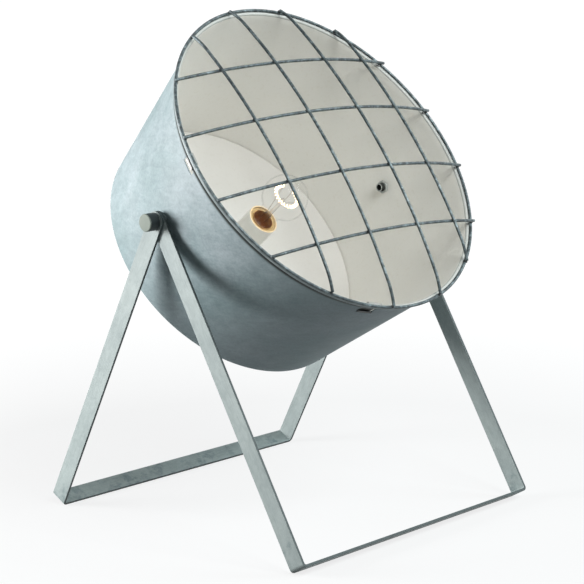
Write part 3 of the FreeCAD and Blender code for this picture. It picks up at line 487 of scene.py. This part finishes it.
# Painted light: the insert's amber stands for the bulb's warm light on it.
BULB_LIT_INSERT = plain_moulding("insert_painted_bulb_light", (0.27, 0.17, 0.06), (0.36, 0.24, 0.10), 0.5)
# Painted light: a warm cream for the holder's mouth and bore, the bulb's light painted on the white
# moulding.
BULB_LIT_LIP = plain_moulding("holder_lip_painted_bulb_light", (0.62, 0.47, 0.29), (0.72, 0.56, 0.37), 0.5)
GRIP_BLACK = plain_moulding("grip_black", (0.03, 0.03, 0.032), (0.055, 0.055, 0.058), 0.45)
CAP_GLASS = plain_moulding("black_cap_glass", (0.01, 0.01, 0.012), (0.03, 0.03, 0.035), 0.1)
BULB_GLASS = clear_glass("clear_bulb_glass", (0.99, 0.985, 0.97), 1.06, 0.9)
STEM_GLASS = clear_glass("clear_stem_glass", (0.96, 0.82, 0.68), 1.15, 0.4)
FILAMENT = glowing("glowing_filament", (1.0, 0.74, 0.42), 6.0)
LEAD = plain_metal("lead_wire", (0.12, 0.10, 0.075), (0.3, 0.24, 0.17), 0.6, 0.4)


# Frames: a flat strip with round, holed ends, laid along a U

def strip_line(distance, half, reach):
    """The U's middle line as (across, down) for each distance from the left pivot: a leg, a
    quarter turn, the crossbar, a quarter turn and the other leg."""
    turn_radius = BEND - BAR_THICK / 2
    wide, deep = half - BAR_THICK / 2, reach - BAR_THICK / 2
    leg, quarter = deep - turn_radius, turn_radius * math.pi / 2
    bar = 2 * (wide - turn_radius)
    mirror = distance > leg + quarter + bar / 2
    d = np.where(mirror, 2 * (leg + quarter) + bar - distance, distance)
    angle = np.clip((d - leg) / turn_radius, 0, math.pi / 2)
    across = -wide + turn_radius * (1 - np.cos(angle)) + np.maximum(d - leg - quarter, 0)
    down = np.minimum(d, leg) + turn_radius * np.sin(angle)
    return np.where(mirror, -across, across), down, 2 * (leg + quarter) + bar


def strip_end(columns, joint):
    """The flat round end: a ring of points from the hole out to the strip's edge, as (distance,
    width); its lowest side is the strip's first row at the joint."""
    half = BAR_WIDTH / 2
    side, rings = np.linspace(joint, 0, 5)[1:], 5
    round_end = np.radians(np.linspace(90, 270, 33))[1:]
    edge = np.concatenate([
        np.stack([np.full(len(columns), joint), columns], axis=-1),
        np.stack([side, np.full(len(side), half)], axis=-1),
        np.stack([half * np.cos(round_end), half * np.sin(round_end)], axis=-1),
        np.stack([side[::-1][1:], np.full(len(side) - 1, -half)], axis=-1),
    ])
    hole = edge / np.linalg.norm(edge, axis=1, keepdims=True) * HOLE
    share = np.linspace(0, 1, rings)[:, None, None]
    return (hole + (edge - hole) * share).reshape(-1, 2), grid(rings, len(edge), False, True)


def bar_frame(name, half, lean, behind, body):
    """A frame: its strip's points go to pivot + across * side + down * leg + width * breadth,
    and a solid wall and small edge rounds finish it."""
    leg_way = np.array([0.0, behind * math.sin(lean), -math.cos(lean)])
    breadth = np.array([0.0, math.cos(lean), behind * math.sin(lean)])
    reach = (PIVOT[2] - BAR_WIDTH / 2 * math.sin(lean)) / math.cos(lean)
    total = strip_line(np.zeros(1), half, reach)[2]
    columns, joint = np.linspace(-BAR_WIDTH / 2, BAR_WIDTH / 2, 9), 16.0
    leg = reach - BEND
    bends = np.linspace(leg, leg + (BEND - BAR_THICK / 2) * math.pi / 2, 9)
    rows = np.unique(np.concatenate([np.linspace(joint, total - joint, 41), bends, total - bends]))
    strip = np.stack(np.meshgrid(rows, columns, indexing="ij"), axis=-1).reshape(-1, 2)
    near, near_faces = strip_end(columns, joint)
    far = near * [-1, 1] + [total, 0]
    flat = np.concatenate([strip, near, far])
    faces = np.concatenate([grid(len(rows), len(columns), False, False),
                            near_faces + len(strip), near_faces + len(strip) + len(near)])
    across, down, _ = strip_line(flat[:, 0], half, reach)
    points = (PIVOT + np.outer(across, SIDE) + np.outer(down, leg_way)
              + np.outer(flat[:, 1], breadth)) * MM
    obj = piece(name + "_bar", points, faces.tolist(), [BAR, SHADED_BAR_EDGE], body, [name])
    lay_strip_map(obj, lambda spots: strip_map(spots, half, leg_way, breadth, leg, total))
    solid = obj.modifiers.new("wall", "SOLIDIFY")
    solid.thickness, solid.offset = BAR_THICK * MM, 0.0
    # The strip's thin rim takes the second finish, the painted shade for the edges.
    solid.use_even_offset, solid.material_offset_rim = True, 1
    finish_edges(obj, 0.35)


def strip_map(points, half, leg_way, breadth, leg, total):
    """Distance along the strip and width across it, read back from the points in metres."""
    local = points / MM - PIVOT
    down, across, width = local @ leg_way, local @ SIDE, local @ breadth
    on_leg = down < leg
    along = np.where(on_leg, np.where(across < 0, down, total - down), leg + half + across)
    return np.stack([along * MM, width * MM], axis=-1)


def lay_strip_map(obj, reader):
    """Writes a piece's own map from its points."""
    mesh = obj.data
    points = np.empty(len(mesh.vertices) * 3)
    mesh.vertices.foreach_get("co", points)
    corners = np.empty(len(mesh.loops), dtype=np.int64)
    mesh.loops.foreach_get("vertex_index", corners)
    layer = mesh.uv_layers.new(name="strip")
    layer.data.foreach_set("uv", reader(points.reshape(-1, 3))[corners].ravel())


def finish_edges(obj, width):
    """Rounds a piece's sharp edges and evens its shading."""
    bevel = obj.modifiers.new("edges", "BEVEL")
    bevel.width, bevel.segments = width * MM, 2
    bevel.limit_method, bevel.angle_limit = "ANGLE", math.radians(50)
    even_shading(obj)


def even_shading(obj):
    """Lets a piece's broad faces set the shading, so that thin edges don't bend it."""
    obj.modifiers.new("shading", "WEIGHTED_NORMAL").keep_sharp = True


bar_frame("rear_frame", REAR_HALF, REAR_LEAN, 1, "rear_frame")
bar_frame("front_frame", FRONT_HALF, FRONT_LEAN, -1, "front_frame")


# Shade: the tapered wall with its clip slots, the wired bead and the seamed back panel

def wall_radius(along):
    """The middle of the sheet: the mouth's radius less half a sheet, narrowing with the slope."""
    return MOUTH_RADIUS - SHEET / 2 - (MOUTH_REACH - along) * WALL_SLOPE


def tapered_wall():
    """The wall's middle surface as a grid of angle and along, less the faces of the clip slots."""
    slot_half, near = SLOT_HALF / (MOUTH_RADIUS - 1.6), 1e-6
    clips, lows = np.radians(CLIP_ANGLES) % (2 * np.pi), np.array(SLOT_LOWS)
    angle = np.unique(np.concatenate([np.linspace(0, 2 * np.pi, 240, endpoint=False),
                                      clips - slot_half, clips + slot_half]))
    along = np.unique(np.concatenate([np.linspace(-BACK_REACH, MOUTH_REACH, 25), lows,
                                      [SLOT_HIGH]]))
    radius = wall_radius(along)[:, None]
    points = on_shade(radius * np.cos(angle), radius * np.sin(angle),
                      np.repeat(along[:, None], len(angle), axis=1)).reshape(-1, 3)
    faces = grid(len(along), len(angle), False, True)
    start, turn = along[faces[:, 0] // len(angle)], angle[faces[:, 0] % len(angle)] + 100 * near
    away = np.abs((turn[:, None] - clips + np.pi) % (2 * np.pi) - np.pi)
    high = (start[:, None] >= lows - near) & (start[:, None] < SLOT_HIGH - near)
    return points, faces[~(high & (away < slot_half)).any(axis=1)].tolist()


points, faces = tapered_wall()
wall = piece("tapered_wall", points, faces, [ZINC, ENAMEL, ZINC], "shade",
             ["shade_wall"])
shell = wall.modifiers.new("sheet", "SOLIDIFY")
shell.thickness, shell.offset = SHEET * MM, 0.0
shell.material_offset, shell.material_offset_rim = 1, 2
even_shading(wall)

points, faces = turned(arc((BEAD_CENTRE, MOUTH_REACH), BEAD, 0, 345, 24), on_shade, 240)
bead = piece("wired_bead", points, faces, [BEAD_ZINC, BEAD_REAR_SHADE, SHADED_BEAD_ENAMEL], "shade",
             ["shade_wall"])
# Painted shade: the bead's inner half takes the darker enamel copy and its rear faces the
# near-black finish; the rest keeps the bead's zinc.
finish_by_place(bead, lambda centre: np.where(from_aim(centre) < BEAD_CENTRE + 0.9, 2,
                                              along_aim(centre) < MOUTH_REACH - 1.1))

panel_rim, panel_bend = BACK_RADIUS - SHEET - 0.1, 3.5
bend_start = np.array([panel_rim + WALL_SLOPE * 5.8 - SHEET / 2, -BACK_FACE + SHEET / 2])
panel_line = np.concatenate([
    np.stack([np.linspace(5.15, bend_start[0] - 4.2, 24), np.full(24, bend_start[1])], axis=-1),
    arc(bend_start - panel_bend, panel_bend, 84, 8, 9),
    [[panel_rim - SHEET / 2, -BACK_REACH]],
])
points, faces = turned(panel_line, on_shade, 240, closed=False)
# The panel's inside takes the darker, painted-shade copy of the enamel.
panel = piece("back_panel", points, faces, [SHADED_PANEL_ENAMEL, ZINC], "shade",
              ["shade_back"])
shell = panel.modifiers.new("sheet", "SOLIDIFY")
shell.thickness, shell.offset = SHEET * MM, 0.0
shell.material_offset = 1
even_shading(panel)


# Grille: the ring, the level and upright wires on their dome, and the welds

def dome(along, across, step):
    """Level of the dome, raised by step: its centre plus the root of radius squared less the
    squared distance from the aim."""
    centre = WIRE_LEVEL + DOME_HEIGHT - DOME_RADIUS
    return centre + step + np.sqrt(DOME_RADIUS ** 2 - along ** 2 - across ** 2)


def level_line(across):
    """A level wire: one arc of the dome between points a little outside the ring."""
    half = math.sqrt((RING_RADIUS + LEVEL_OVERHANG) ** 2 - across ** 2)
    along = np.linspace(-half, half, 81)
    return along, dome(along, across, 0.0)


def upright_line(across):
    """An upright wire: the raised dome, with each end brought down to the ring by an arc that
    leaves the dome along its tangent: the drop's quadratic is radius = drop^2 / (2 * outward)."""
    half = math.sqrt((RING_RADIUS + UPRIGHT_OVERHANG) ** 2 - across ** 2)
    bend = half - UPRIGHT_DROP
    middle = np.linspace(-bend, bend, 65)
    joint = np.array([bend, dome(bend, across, CROSSING_STEP)])
    centre_line = np.array([0.0, WIRE_LEVEL + DOME_HEIGHT - DOME_RADIUS + CROSSING_STEP])
    outward = (joint - centre_line) / np.linalg.norm(joint - centre_line)
    drop = np.array([half, WIRE_LEVEL]) - joint
    radius = -drop @ drop / (2 * outward @ drop)
    centre = joint - outward * radius
    first = math.atan2(*(joint - centre)[::-1])
    last = math.atan2(*(np.array([half, WIRE_LEVEL]) - centre)[::-1])
    turn = np.linspace(first, last, 17)[1:]
    end = centre + radius * np.stack([np.cos(turn), np.sin(turn)], axis=-1)
    along = np.concatenate([-end[::-1, 0], middle, end[:, 0]])
    level = np.concatenate([end[::-1, 1], dome(middle, across, CROSSING_STEP), end[:, 1]])
    return along, level


points, faces = turned(arc((RING_RADIUS, RING_PLANE), WIRE, 0, 345, 24), on_shade, 240)
piece("grille_ring_wire", points, faces, [SLATE_WIRE], "shade", ["grille_ring"])
for number, up in enumerate(LEVEL_WIRES, start=1):
    along, level = level_line(up)
    points, faces = piped(on_shade(along, np.full_like(along, up), level), UP, WIRE * MM)
    piece(f"level_wire_{number}", points, faces, [SLATE_WIRE], "shade",
          [f"grille_level_wire_{number}"])
for number, across in enumerate(UPRIGHT_WIRES, start=1):
    along, level = upright_line(across)
    points, faces = piped(on_shade(np.full_like(along, across), along, level), SIDE, WIRE * MM)
    piece(f"upright_wire_{number}", points, faces, [SLATE_WIRE], "shade",
          [f"grille_upright_wire_{number}"])


def weld_beads():
    """Small uneven beads where wires cross and where they meet the ring: each is a ball drawn
    out along each direction, placed at the touching point of its two wires."""
    across, up = [grid_line.ravel() for grid_line in np.meshgrid(UPRIGHT_WIRES, LEVEL_WIRES)]
    crossing = np.stack([across, up, dome(across, up, CROSSING_STEP / 2)], axis=-1)
    level, upright = np.array(LEVEL_WIRES), np.array(UPRIGHT_WIRES)
    level_end, upright_end = (np.sqrt(RING_RADIUS ** 2 - line ** 2) for line in (level, upright))
    seat = np.full(len(level), RING_PLANE + WIRE)
    centres = np.concatenate([
        crossing,
        *(np.stack([sign * level_end, level, seat], axis=-1) for sign in (-1, 1)),
        *(np.stack([upright, sign * upright_end, seat], axis=-1) for sign in (-1, 1)),
    ])
    chance = np.random.default_rng(11)
    size = np.array([1.9, 1.9, 1.35]) * chance.uniform(0.85, 1.2, (len(centres), 3))
    rings, sides = 8, 12
    turn = np.linspace(0, 2 * np.pi, sides, endpoint=False)
    lift = np.linspace(-1.45, 1.45, rings)
    ball = np.stack([np.cos(lift)[:, None] * np.cos(turn), np.cos(lift)[:, None] * np.sin(turn),
                     np.repeat(np.sin(lift)[:, None], sides, axis=1)], axis=-1).reshape(-1, 3)
    spots = (centres[:, None] + ball * size[:, None]).reshape(-1, 3)
    starts = (np.arange(len(centres)) * len(ball))[:, None]
    faces = (grid(rings, sides, False, True)[None] + starts[:, :, None]).reshape(-1, 4).tolist()
    for row in (0, rings - 1):
        faces += (np.arange(sides)[None] + starts + row * sides).tolist()
    return on_shade(*spots.T), faces


points, faces = weld_beads()
piece("grille_welds", points, faces, [WELD], "shade", [])


def clip_strips():
    """Two bent strips: each point is the clip's profile carried across its width, then turned
    about the aim to the clip's angle. The profile runs from the ring's inside down inside the
    wall, out through the slot and up behind the wall in a short hook."""
    points, faces, count, columns, room = [], [], 0, 9, 0.7
    for angle, tail, half in zip(np.radians(CLIP_ANGLES), CLIP_TAILS, CLIP_HALVES):
        width = np.linspace(-half, half, columns)
        outside = wall_radius(tail) + SHEET / 2
        line = softened([(RING_RADIUS - WIRE - 0.3, CLIP_TOP),
                         (MOUTH_RADIUS - SHEET - room, CLIP_TOP), (outside - SHEET - room, tail),
                         (outside + 1.2, tail), (outside + 1.2, tail + 3.4)], 1.0, 5, closed=False)
        radius = np.repeat(line[:, :1], columns, axis=1)
        along = np.repeat(line[:, 1:], columns, axis=1)
        across = radius * math.cos(angle) - width * math.sin(angle)
        up = radius * math.sin(angle) + width * math.cos(angle)
        points.append(on_shade(across, up, along).reshape(-1, 3))
        faces.append(grid(len(line), columns, False, False) + count)
        count += len(line) * columns
    return np.concatenate(points), np.concatenate(faces).tolist()


points, faces = clip_strips()
clips = piece("spring_clips", points, faces, [SPRING, SHADED_CLIP_LIP, SHADED_SPRING], "shade",
              ["grille_clips"])
# Painted shade: the lips inside the mouth take the dark enamel copy, and the clip on the underside
# the near-black steel copy.
finish_by_place(clips, lambda centre: np.where(along_aim(centre) > SLOT_HIGH + 1.0, 1,
                                               2 * ((centre / MM - PIVOT) @ UP < -150.0)))
solid = clips.modifiers.new("strip", "SOLIDIFY")
solid.thickness, solid.offset, solid.use_even_offset = CLIP_THICK * MM, 0.0, True
finish_edges(clips, 0.12)


# Turned pieces: profiles of (radius, along), softened at their corners

def flats(radius, turn):
    """A nut's flats: no radius beyond half the width across them over the cosine to the
    nearest flat's middle."""
    sector = (turn + math.pi / 6) % (math.pi / 3) - math.pi / 6
    return np.minimum(radius, NUT_HALF / np.cos(sector))


def turned_piece(name, profile, finish, nodes, place=on_shade, body="shade", soft=0.3,
                 closed=True, shape=None):
    """One lathe-turned piece, softened, placed and finished."""
    line = softened(profile, soft, closed=closed)
    points, faces = turned(line, place, closed=closed, shape=shape)
    return piece(name, points, faces, [finish], body, nodes)


def box_profile(inner, outer, start, end):
    """The corners of a plain tube's wall."""
    return [(inner, start), (outer, start), (outer, end), (inner, end)]


for side, word in ((-1, "left"), (1, "right")):
    place = on_pin(side)
    knob = turned_piece(f"{word}_knob_turned",
                        [(0.0, KNOB_END), (KNOB_RADIUS - 0.8, KNOB_END),
                         (KNOB_RADIUS, KNOB_END - 0.8), (KNOB_RADIUS, KNOB_START),
                         (HOLE, KNOB_START), (HOLE, KNOB_START + 10.0), (0.0, KNOB_START + 10.0)],
                        KNOB_FACE, [f"{word}_clamp_knob"], place, f"{word}_knob",
                        closed=False)
    # Painted dark reflection: the knob's round side takes the near-black copy, its end face the
    # lighter metal.
    knob.data.materials.append(SHADED_KNOB_SIDE)
    finish_by_place(knob, lambda centre: np.abs(centre[:, 0]) < (KNOB_END - 1.0) * MM)
    turned_piece(f"{word}_washer_disc", box_profile(HOLE, WASHER_RADIUS, 193.0, KNOB_START),
                 PLATED, [f"{word}_knob_washer"], place)
    turned_piece(f"{word}_spacer_sleeve", box_profile(HOLE, 8.0, 182.7, 186.8), PLATED,
                 [f"{word}_shade_spacer"], place)
    tube = turned_piece(f"{word}_threaded_tube",
                        box_profile(TUBE_BORE, TUBE_RADIUS, 171.6, 203.2), PLATED,
                        [f"{word}_pivot_tube"], place)
    # Painted shade: the tube's bore and outer thread take the near-black finish.
    tube.data.materials.append(BORE_AND_THREAD_SHADE)
    finish_by_place(tube, lambda centre: (from_pin(centre) < TUBE_BORE + 0.1)
                    | (from_pin(centre) > TUBE_RADIUS - 0.2))
    turned_piece(f"{word}_thin_nut",
                 [(HOLE, 176.4), (NUT_HALF, 176.4), (NUT_CORNER, 176.9), (NUT_CORNER, 178.9),
                  (HOLE, 178.9)], PLATED, [f"{word}_pivot_locknut"], place,
                 shape=flats)

turned_piece("holder_cap_turned",
             [(HOLE, -93.8), (HOLDER_RADIUS - 3.0, -93.8), (HOLDER_RADIUS, -90.8),
              (HOLDER_RADIUS, -75.0), (HOLDER_BORE, -75.0), (HOLDER_BORE, -86.0), (HOLE, -86.0)],
             HOLDER_WHITE, ["lampholder_cap"], soft=0.8)
skirt = turned_piece("holder_skirt_turned",
                     box_profile(HOLDER_BORE, HOLDER_RADIUS, -75.0, HOLDER_MOUTH), HOLDER_WHITE,
                     ["lampholder_skirt"], soft=0.7)
# Painted light: the skirt's mouth face and bore take the warm cream of the bulb's light.
skirt.data.materials.append(BULB_LIT_LIP)
finish_by_place(skirt, lambda centre: (along_aim(centre) > HOLDER_MOUTH - 0.3)
                | (from_aim(centre) < HOLDER_BORE + 0.4))
# Painted light: the insert is amber, the bulb's warm light painted on it.
turned_piece("holder_insert_turned",
             [(0.0, -74.8), (17.0, -74.8), (17.0, -37.0), (14.35, -37.0), (14.35, -69.8),
              (0.0, -69.8)], BULB_LIT_INSERT, ["lampholder_insert"], closed=False)
turned_piece("screw_shell_turned", box_profile(13.45, 14.15, -69.8, -37.0), BRASS,
             ["lampholder_screw_shell"], soft=0.2)
cap = turned_piece("bulb_cap_turned",
                   [(13.2, -35.8), (12.7, -35.8), (12.7, -56.0), (8.5, -58.3), (8.5, -58.8),
                    (9.0, -58.8), (13.2, -56.5)], CAP_METAL, ["bulb_cap"],
                   soft=0.15)
cap.data.materials.append(BRASS)
finish_by_place(cap, lambda centre: along_aim(centre) > -36.6)
turned_piece("entry_washer_disc", box_profile(HOLE, WASHER_RADIUS, -96.8, -95.6), PLATED,
             ["cable_entry_washer"])
turned_piece("entry_nut_turned",
             [(HOLE, -99.8), (NUT_HALF, -99.8), (NUT_CORNER, -99.3), (NUT_CORNER, -97.3),
              (NUT_HALF, -96.8), (HOLE, -96.8)], PLATED,
             ["cable_entry_locknut"], shape=flats)
turned_piece("entry_tube_turned", box_profile(TUBE_BORE, TUBE_RADIUS, -108.8, -87.0), PLATED,
             ["cable_entry_tube"])
turned_piece("cord_grip_turned",
             [(HOLE, -99.8), (8.0, -99.8), (8.0, -113.1), (6.5, -114.6), (TUBE_BORE, -114.6),
              (TUBE_BORE, -108.8), (HOLE, -108.8)], GRIP_BLACK, ["cord_grip"],
             soft=0.5)


# Bulb: globe, waist and neck in one line, with the stem, its wires and the filament

def bulb_line(inset):
    """From the top of the globe down the globe's arc, the waist's opposite arc and the neck. The
    two arcs touch where their centres lie both radii apart."""
    globe, neck, waist = GLOBE_RADIUS - inset, NECK_RADIUS - inset, WAIST_RADIUS + inset
    drop = math.sqrt((globe + waist) ** 2 - (neck + waist) ** 2)
    lean = math.degrees(math.atan2(-drop, neck + waist))
    return np.concatenate([
        arc((0.0, GLOBE_LEVEL), globe, 90, lean, 48),
        arc((neck + waist, GLOBE_LEVEL - drop), waist, 180 + lean, 180, 16)[1:],
        [[neck, NECK_FOOT]],
    ])


glass = np.concatenate([bulb_line(0.0), bulb_line(0.7)[::-1]])
points, faces = turned(glass, on_shade, 96, closed=False)
piece("bulb_envelope", points, faces, [BULB_GLASS], "shade", ["bulb_glass"])
turned_piece("stem_turned", [(0.0, -44.3), (11.6, -44.3), (11.6, -43.6), (4.4, -42.4),
                             (4.4, -25.3), (1.4, -22.0), (1.4, 2.4), (2.3, 4.7), (1.4, 7.0),
                             (0.0, 7.0)], STEM_GLASS, ["bulb_stem"], soft=0.5,
             closed=False)


def filament_coil():
    """A fine coil laid round the open loop: the loop's point + small radius * (cos of the coil's
    turn * the way outward + sin of it * the aim)."""
    share, turns, wire = np.linspace(0, 1, 1600), 19, 0.36
    loop_turn, coil_turn = np.radians(70 + 310 * share), 2 * np.pi * turns * share
    radius = 14.4 + 1.75 * np.cos(coil_turn)
    path = on_shade(radius * np.cos(loop_turn), radius * np.sin(loop_turn),
                    LOOP_LEVEL + 1.35 * np.sin(coil_turn))
    return piped(path, AIM, wire * MM, 8)


points, faces = filament_coil()
piece("filament_loop", points, faces, [FILAMENT], "shade", ["bulb_filament"])


def support_wires():
    """Thin wires to the loop: three from the rod's button and two leads from the pinch. Each
    is bowed: its middle stands off the straight line by the bow."""
    def way(angle):
        return np.array([math.cos(math.radians(angle)), math.sin(math.radians(angle))])

    loop, wire = 14.85, 0.25
    wires = [(2.5 * way(angle), 4.7, loop * way(angle), LOOP_LEVEL, 1.5)
             for angle in (135.0, 225.0, 315.0)]
    wires += [(3.0 * way(45.0 + 90.0 * side), -24.9, loop * way(45.0 + 25.0 * side), LOOP_LEVEL,
               0.0) for side in (-1, 1)]
    points, faces, count = [], [], 0
    for start, start_level, end, end_level, bow in wires:
        t = np.linspace(0, 1, 13)[:, None]
        flat = start + (end - start) * t
        level = start_level + (end_level - start_level) * t[:, 0] - bow * np.sin(np.pi * t[:, 0])
        path = on_shade(flat[:, 0], flat[:, 1], level)
        normal = np.cross(path[-1] - path[0], AIM)
        rings, quads = piped(path, normal / np.linalg.norm(normal), wire * MM, 8)
        points.append(rings)
        faces += [[corner + count for corner in face] for face in quads]
        count += len(rings)
    return np.concatenate(points), faces


points, faces = support_wires()
piece("support_wires", points, faces, [LEAD], "shade", ["bulb_support_wires"])

for node, finish in {
    "lampholder_centre_contact": BRASS, "terminal_screws": PLATED, "earth_tag": PLATED,
    "bulb_insulator": CAP_GLASS, "bulb_contact_tip": PLATED,
}.items():
    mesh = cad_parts[node].data
    mesh.materials.clear()
    mesh.materials.append(finish)


# Table, light and camera

def sum_of(nodes, links, first, second):
    """First plus second, no more than one."""
    both = nodes.new("ShaderNodeMath")
    both.operation, both.use_clamp = "ADD", True
    links.new(first, both.inputs[0])
    links.new(second, both.inputs[1])
    return both.outputs["Value"]


def seen_rays(nodes, links):
    """One for rays that show the surroundings: the camera's, a gloss's or a glass's."""
    seen = nodes.new("ShaderNodeLightPath")
    direct = sum_of(nodes, links, seen.outputs["Is Camera Ray"], seen.outputs["Is Glossy Ray"])
    return sum_of(nodes, links, direct, seen.outputs["Is Transmission Ray"])


def table_top():
    """A wide pale floor that a quarter circle joins to a wall behind: depth = start + radius *
    sin of the turn and height = radius * (1 - cos of it). Its glow, for rays that show it, grows
    to full white away from the lamp."""
    start, radius, wall_top = 3, 1.5, 6.0
    turn = np.linspace(0.1, 1.57, 12)
    depth = np.concatenate([np.linspace(-6, start, 10), start + radius * np.sin(turn),
                            [start + radius]])
    height = np.concatenate([np.zeros(10), radius * (1 - np.cos(turn)), [wall_top]])
    width = np.linspace(-7, 7, 15)
    heading = math.radians(45.8)
    ahead = np.array([math.sin(heading), math.cos(heading), 0.0])
    aside = np.array([math.cos(heading), -math.sin(heading), 0.0])
    points = (depth[:, None, None] * ahead + width[None, :, None] * aside
              + height[:, None, None] * np.array([0.0, 0.0, 1.0]))
    mesh = bpy.data.meshes.new("studio_floor")
    mesh.from_pydata(points.reshape(-1, 3).tolist(), [],
                     grid(len(depth), len(width), False, False).tolist())
    mesh.polygons.foreach_set("use_smooth", np.full(len(mesh.polygons), True))
    floor = bpy.data.objects.new("studio_floor", mesh)
    bpy.context.scene.collection.objects.link(floor)
    material, nodes, links, shader, place = start_finish("studio_white", 0.0, 0.9)
    shader.inputs["Base Color"].default_value = (0.118, 0.122, 0.124, 1.0)
    shader.inputs["Specular IOR Level"].default_value = 0.0
    glow = nodes.new("ShaderNodeEmission")
    far = nodes.new("ShaderNodeVectorMath")
    far.operation = "LENGTH"
    links.new(place, far.inputs[0])
    whiter = nodes.new("ShaderNodeMapRange")
    for socket, value in (("From Min", 0.5), ("From Max", 1.4), ("To Min", 0.80), ("To Max", 1.0)):
        whiter.inputs[socket].default_value = value
    links.new(far.outputs["Value"], whiter.inputs["Value"])
    share = nodes.new("ShaderNodeMath")
    share.operation = "MULTIPLY"
    links.new(whiter.outputs["Result"], share.inputs[1])
    links.new(seen_rays(nodes, links), share.inputs[0])
    links.new(share.outputs["Value"], glow.inputs["Strength"])
    both = nodes.new("ShaderNodeAddShader")
    links.new(shader.outputs["BSDF"], both.inputs[0])
    links.new(glow.outputs["Emission"], both.inputs[1])
    links.new(both.outputs["Shader"], nodes["Material Output"].inputs["Surface"])
    mesh.materials.append(material)


table_top()


def soft_box(name, place, aim, size, power, colour):
    """A square soft light at a place, facing its aim."""
    light = bpy.data.lights.new(name, "AREA")
    light.shape, light.size, light.energy, light.color = "SQUARE", size, power, colour
    obj = bpy.data.objects.new(name, light)
    bpy.context.scene.collection.objects.link(obj)
    back = np.subtract(place, aim)
    back /= np.linalg.norm(back)
    right = np.cross([0.0, 0.0, 1.0], back)
    right /= np.linalg.norm(right)
    turn = np.eye(4)
    turn[:3, 0], turn[:3, 1], turn[:3, 2], turn[:3, 3] = right, np.cross(back, right), back, place
    obj.matrix_world = turn.T.tolist()


MIDDLE = (0.0, 0.0, 0.33)
soft_box("left_box", (-1.1, 0.95, 0.5), MIDDLE, 0.7, 34.0, (1.0, 0.985, 0.975))
soft_box("front_box", (-0.05, -1.75, 1.85), MIDDLE, 1.2, 60.0, (0.96, 1.0, 0.99))
soft_box("right_box", (1.4, -1.3, 1.5), MIDDLE, 1.0, 24.0, (0.88, 0.98, 1.0))

world = bpy.data.worlds.new("studio_air")
bpy.context.scene.world = world
world.use_nodes = True
nodes, links = world.node_tree.nodes, world.node_tree.links
air, white = nodes["Background"], nodes.new("ShaderNodeMapRange")
air.inputs["Color"].default_value = (1.0, 1.0, 1.0, 1.0)
white.inputs["To Min"].default_value, white.inputs["To Max"].default_value = 0.03, 1.0
links.new(seen_rays(nodes, links), white.inputs["Value"])
links.new(white.outputs["Result"], air.inputs["Strength"])

AZIMUTH, ELEVATION, ROLL = (math.radians(angle) for angle in (-45.836, 10.487, -0.770))
TARGET, DISTANCE = np.array([0.0, -7.64, 250.97]) * MM, 2.16165
FILM, FOCUS_PIXELS, PHOTO_PIXELS = 36.0, 1873.48, 584
camera = bpy.data.cameras.new("camera")
camera.sensor_width, camera.lens = FILM, FILM * FOCUS_PIXELS / PHOTO_PIXELS
camera.clip_start, camera.clip_end = 0.05, 50.0
back = np.array([math.sin(AZIMUTH) * math.cos(ELEVATION), -math.cos(AZIMUTH) * math.cos(ELEVATION),
                 math.sin(ELEVATION)])
level = np.cross(-back, [0.0, 0.0, 1.0])
level /= np.linalg.norm(level)
upright = np.cross(level, -back)
turn = np.eye(4)
turn[:3, 0] = level * math.cos(ROLL) + upright * math.sin(ROLL)
turn[:3, 1] = -level * math.sin(ROLL) + upright * math.cos(ROLL)
turn[:3, 2] = back
turn[:3, 3] = TARGET + back * DISTANCE
viewer = bpy.data.objects.new("camera", camera)
bpy.context.scene.collection.objects.link(viewer)
viewer.matrix_world = turn.T.tolist()
bpy.context.scene.camera = viewer
bpy.context.scene.view_settings.view_transform = "Standard"
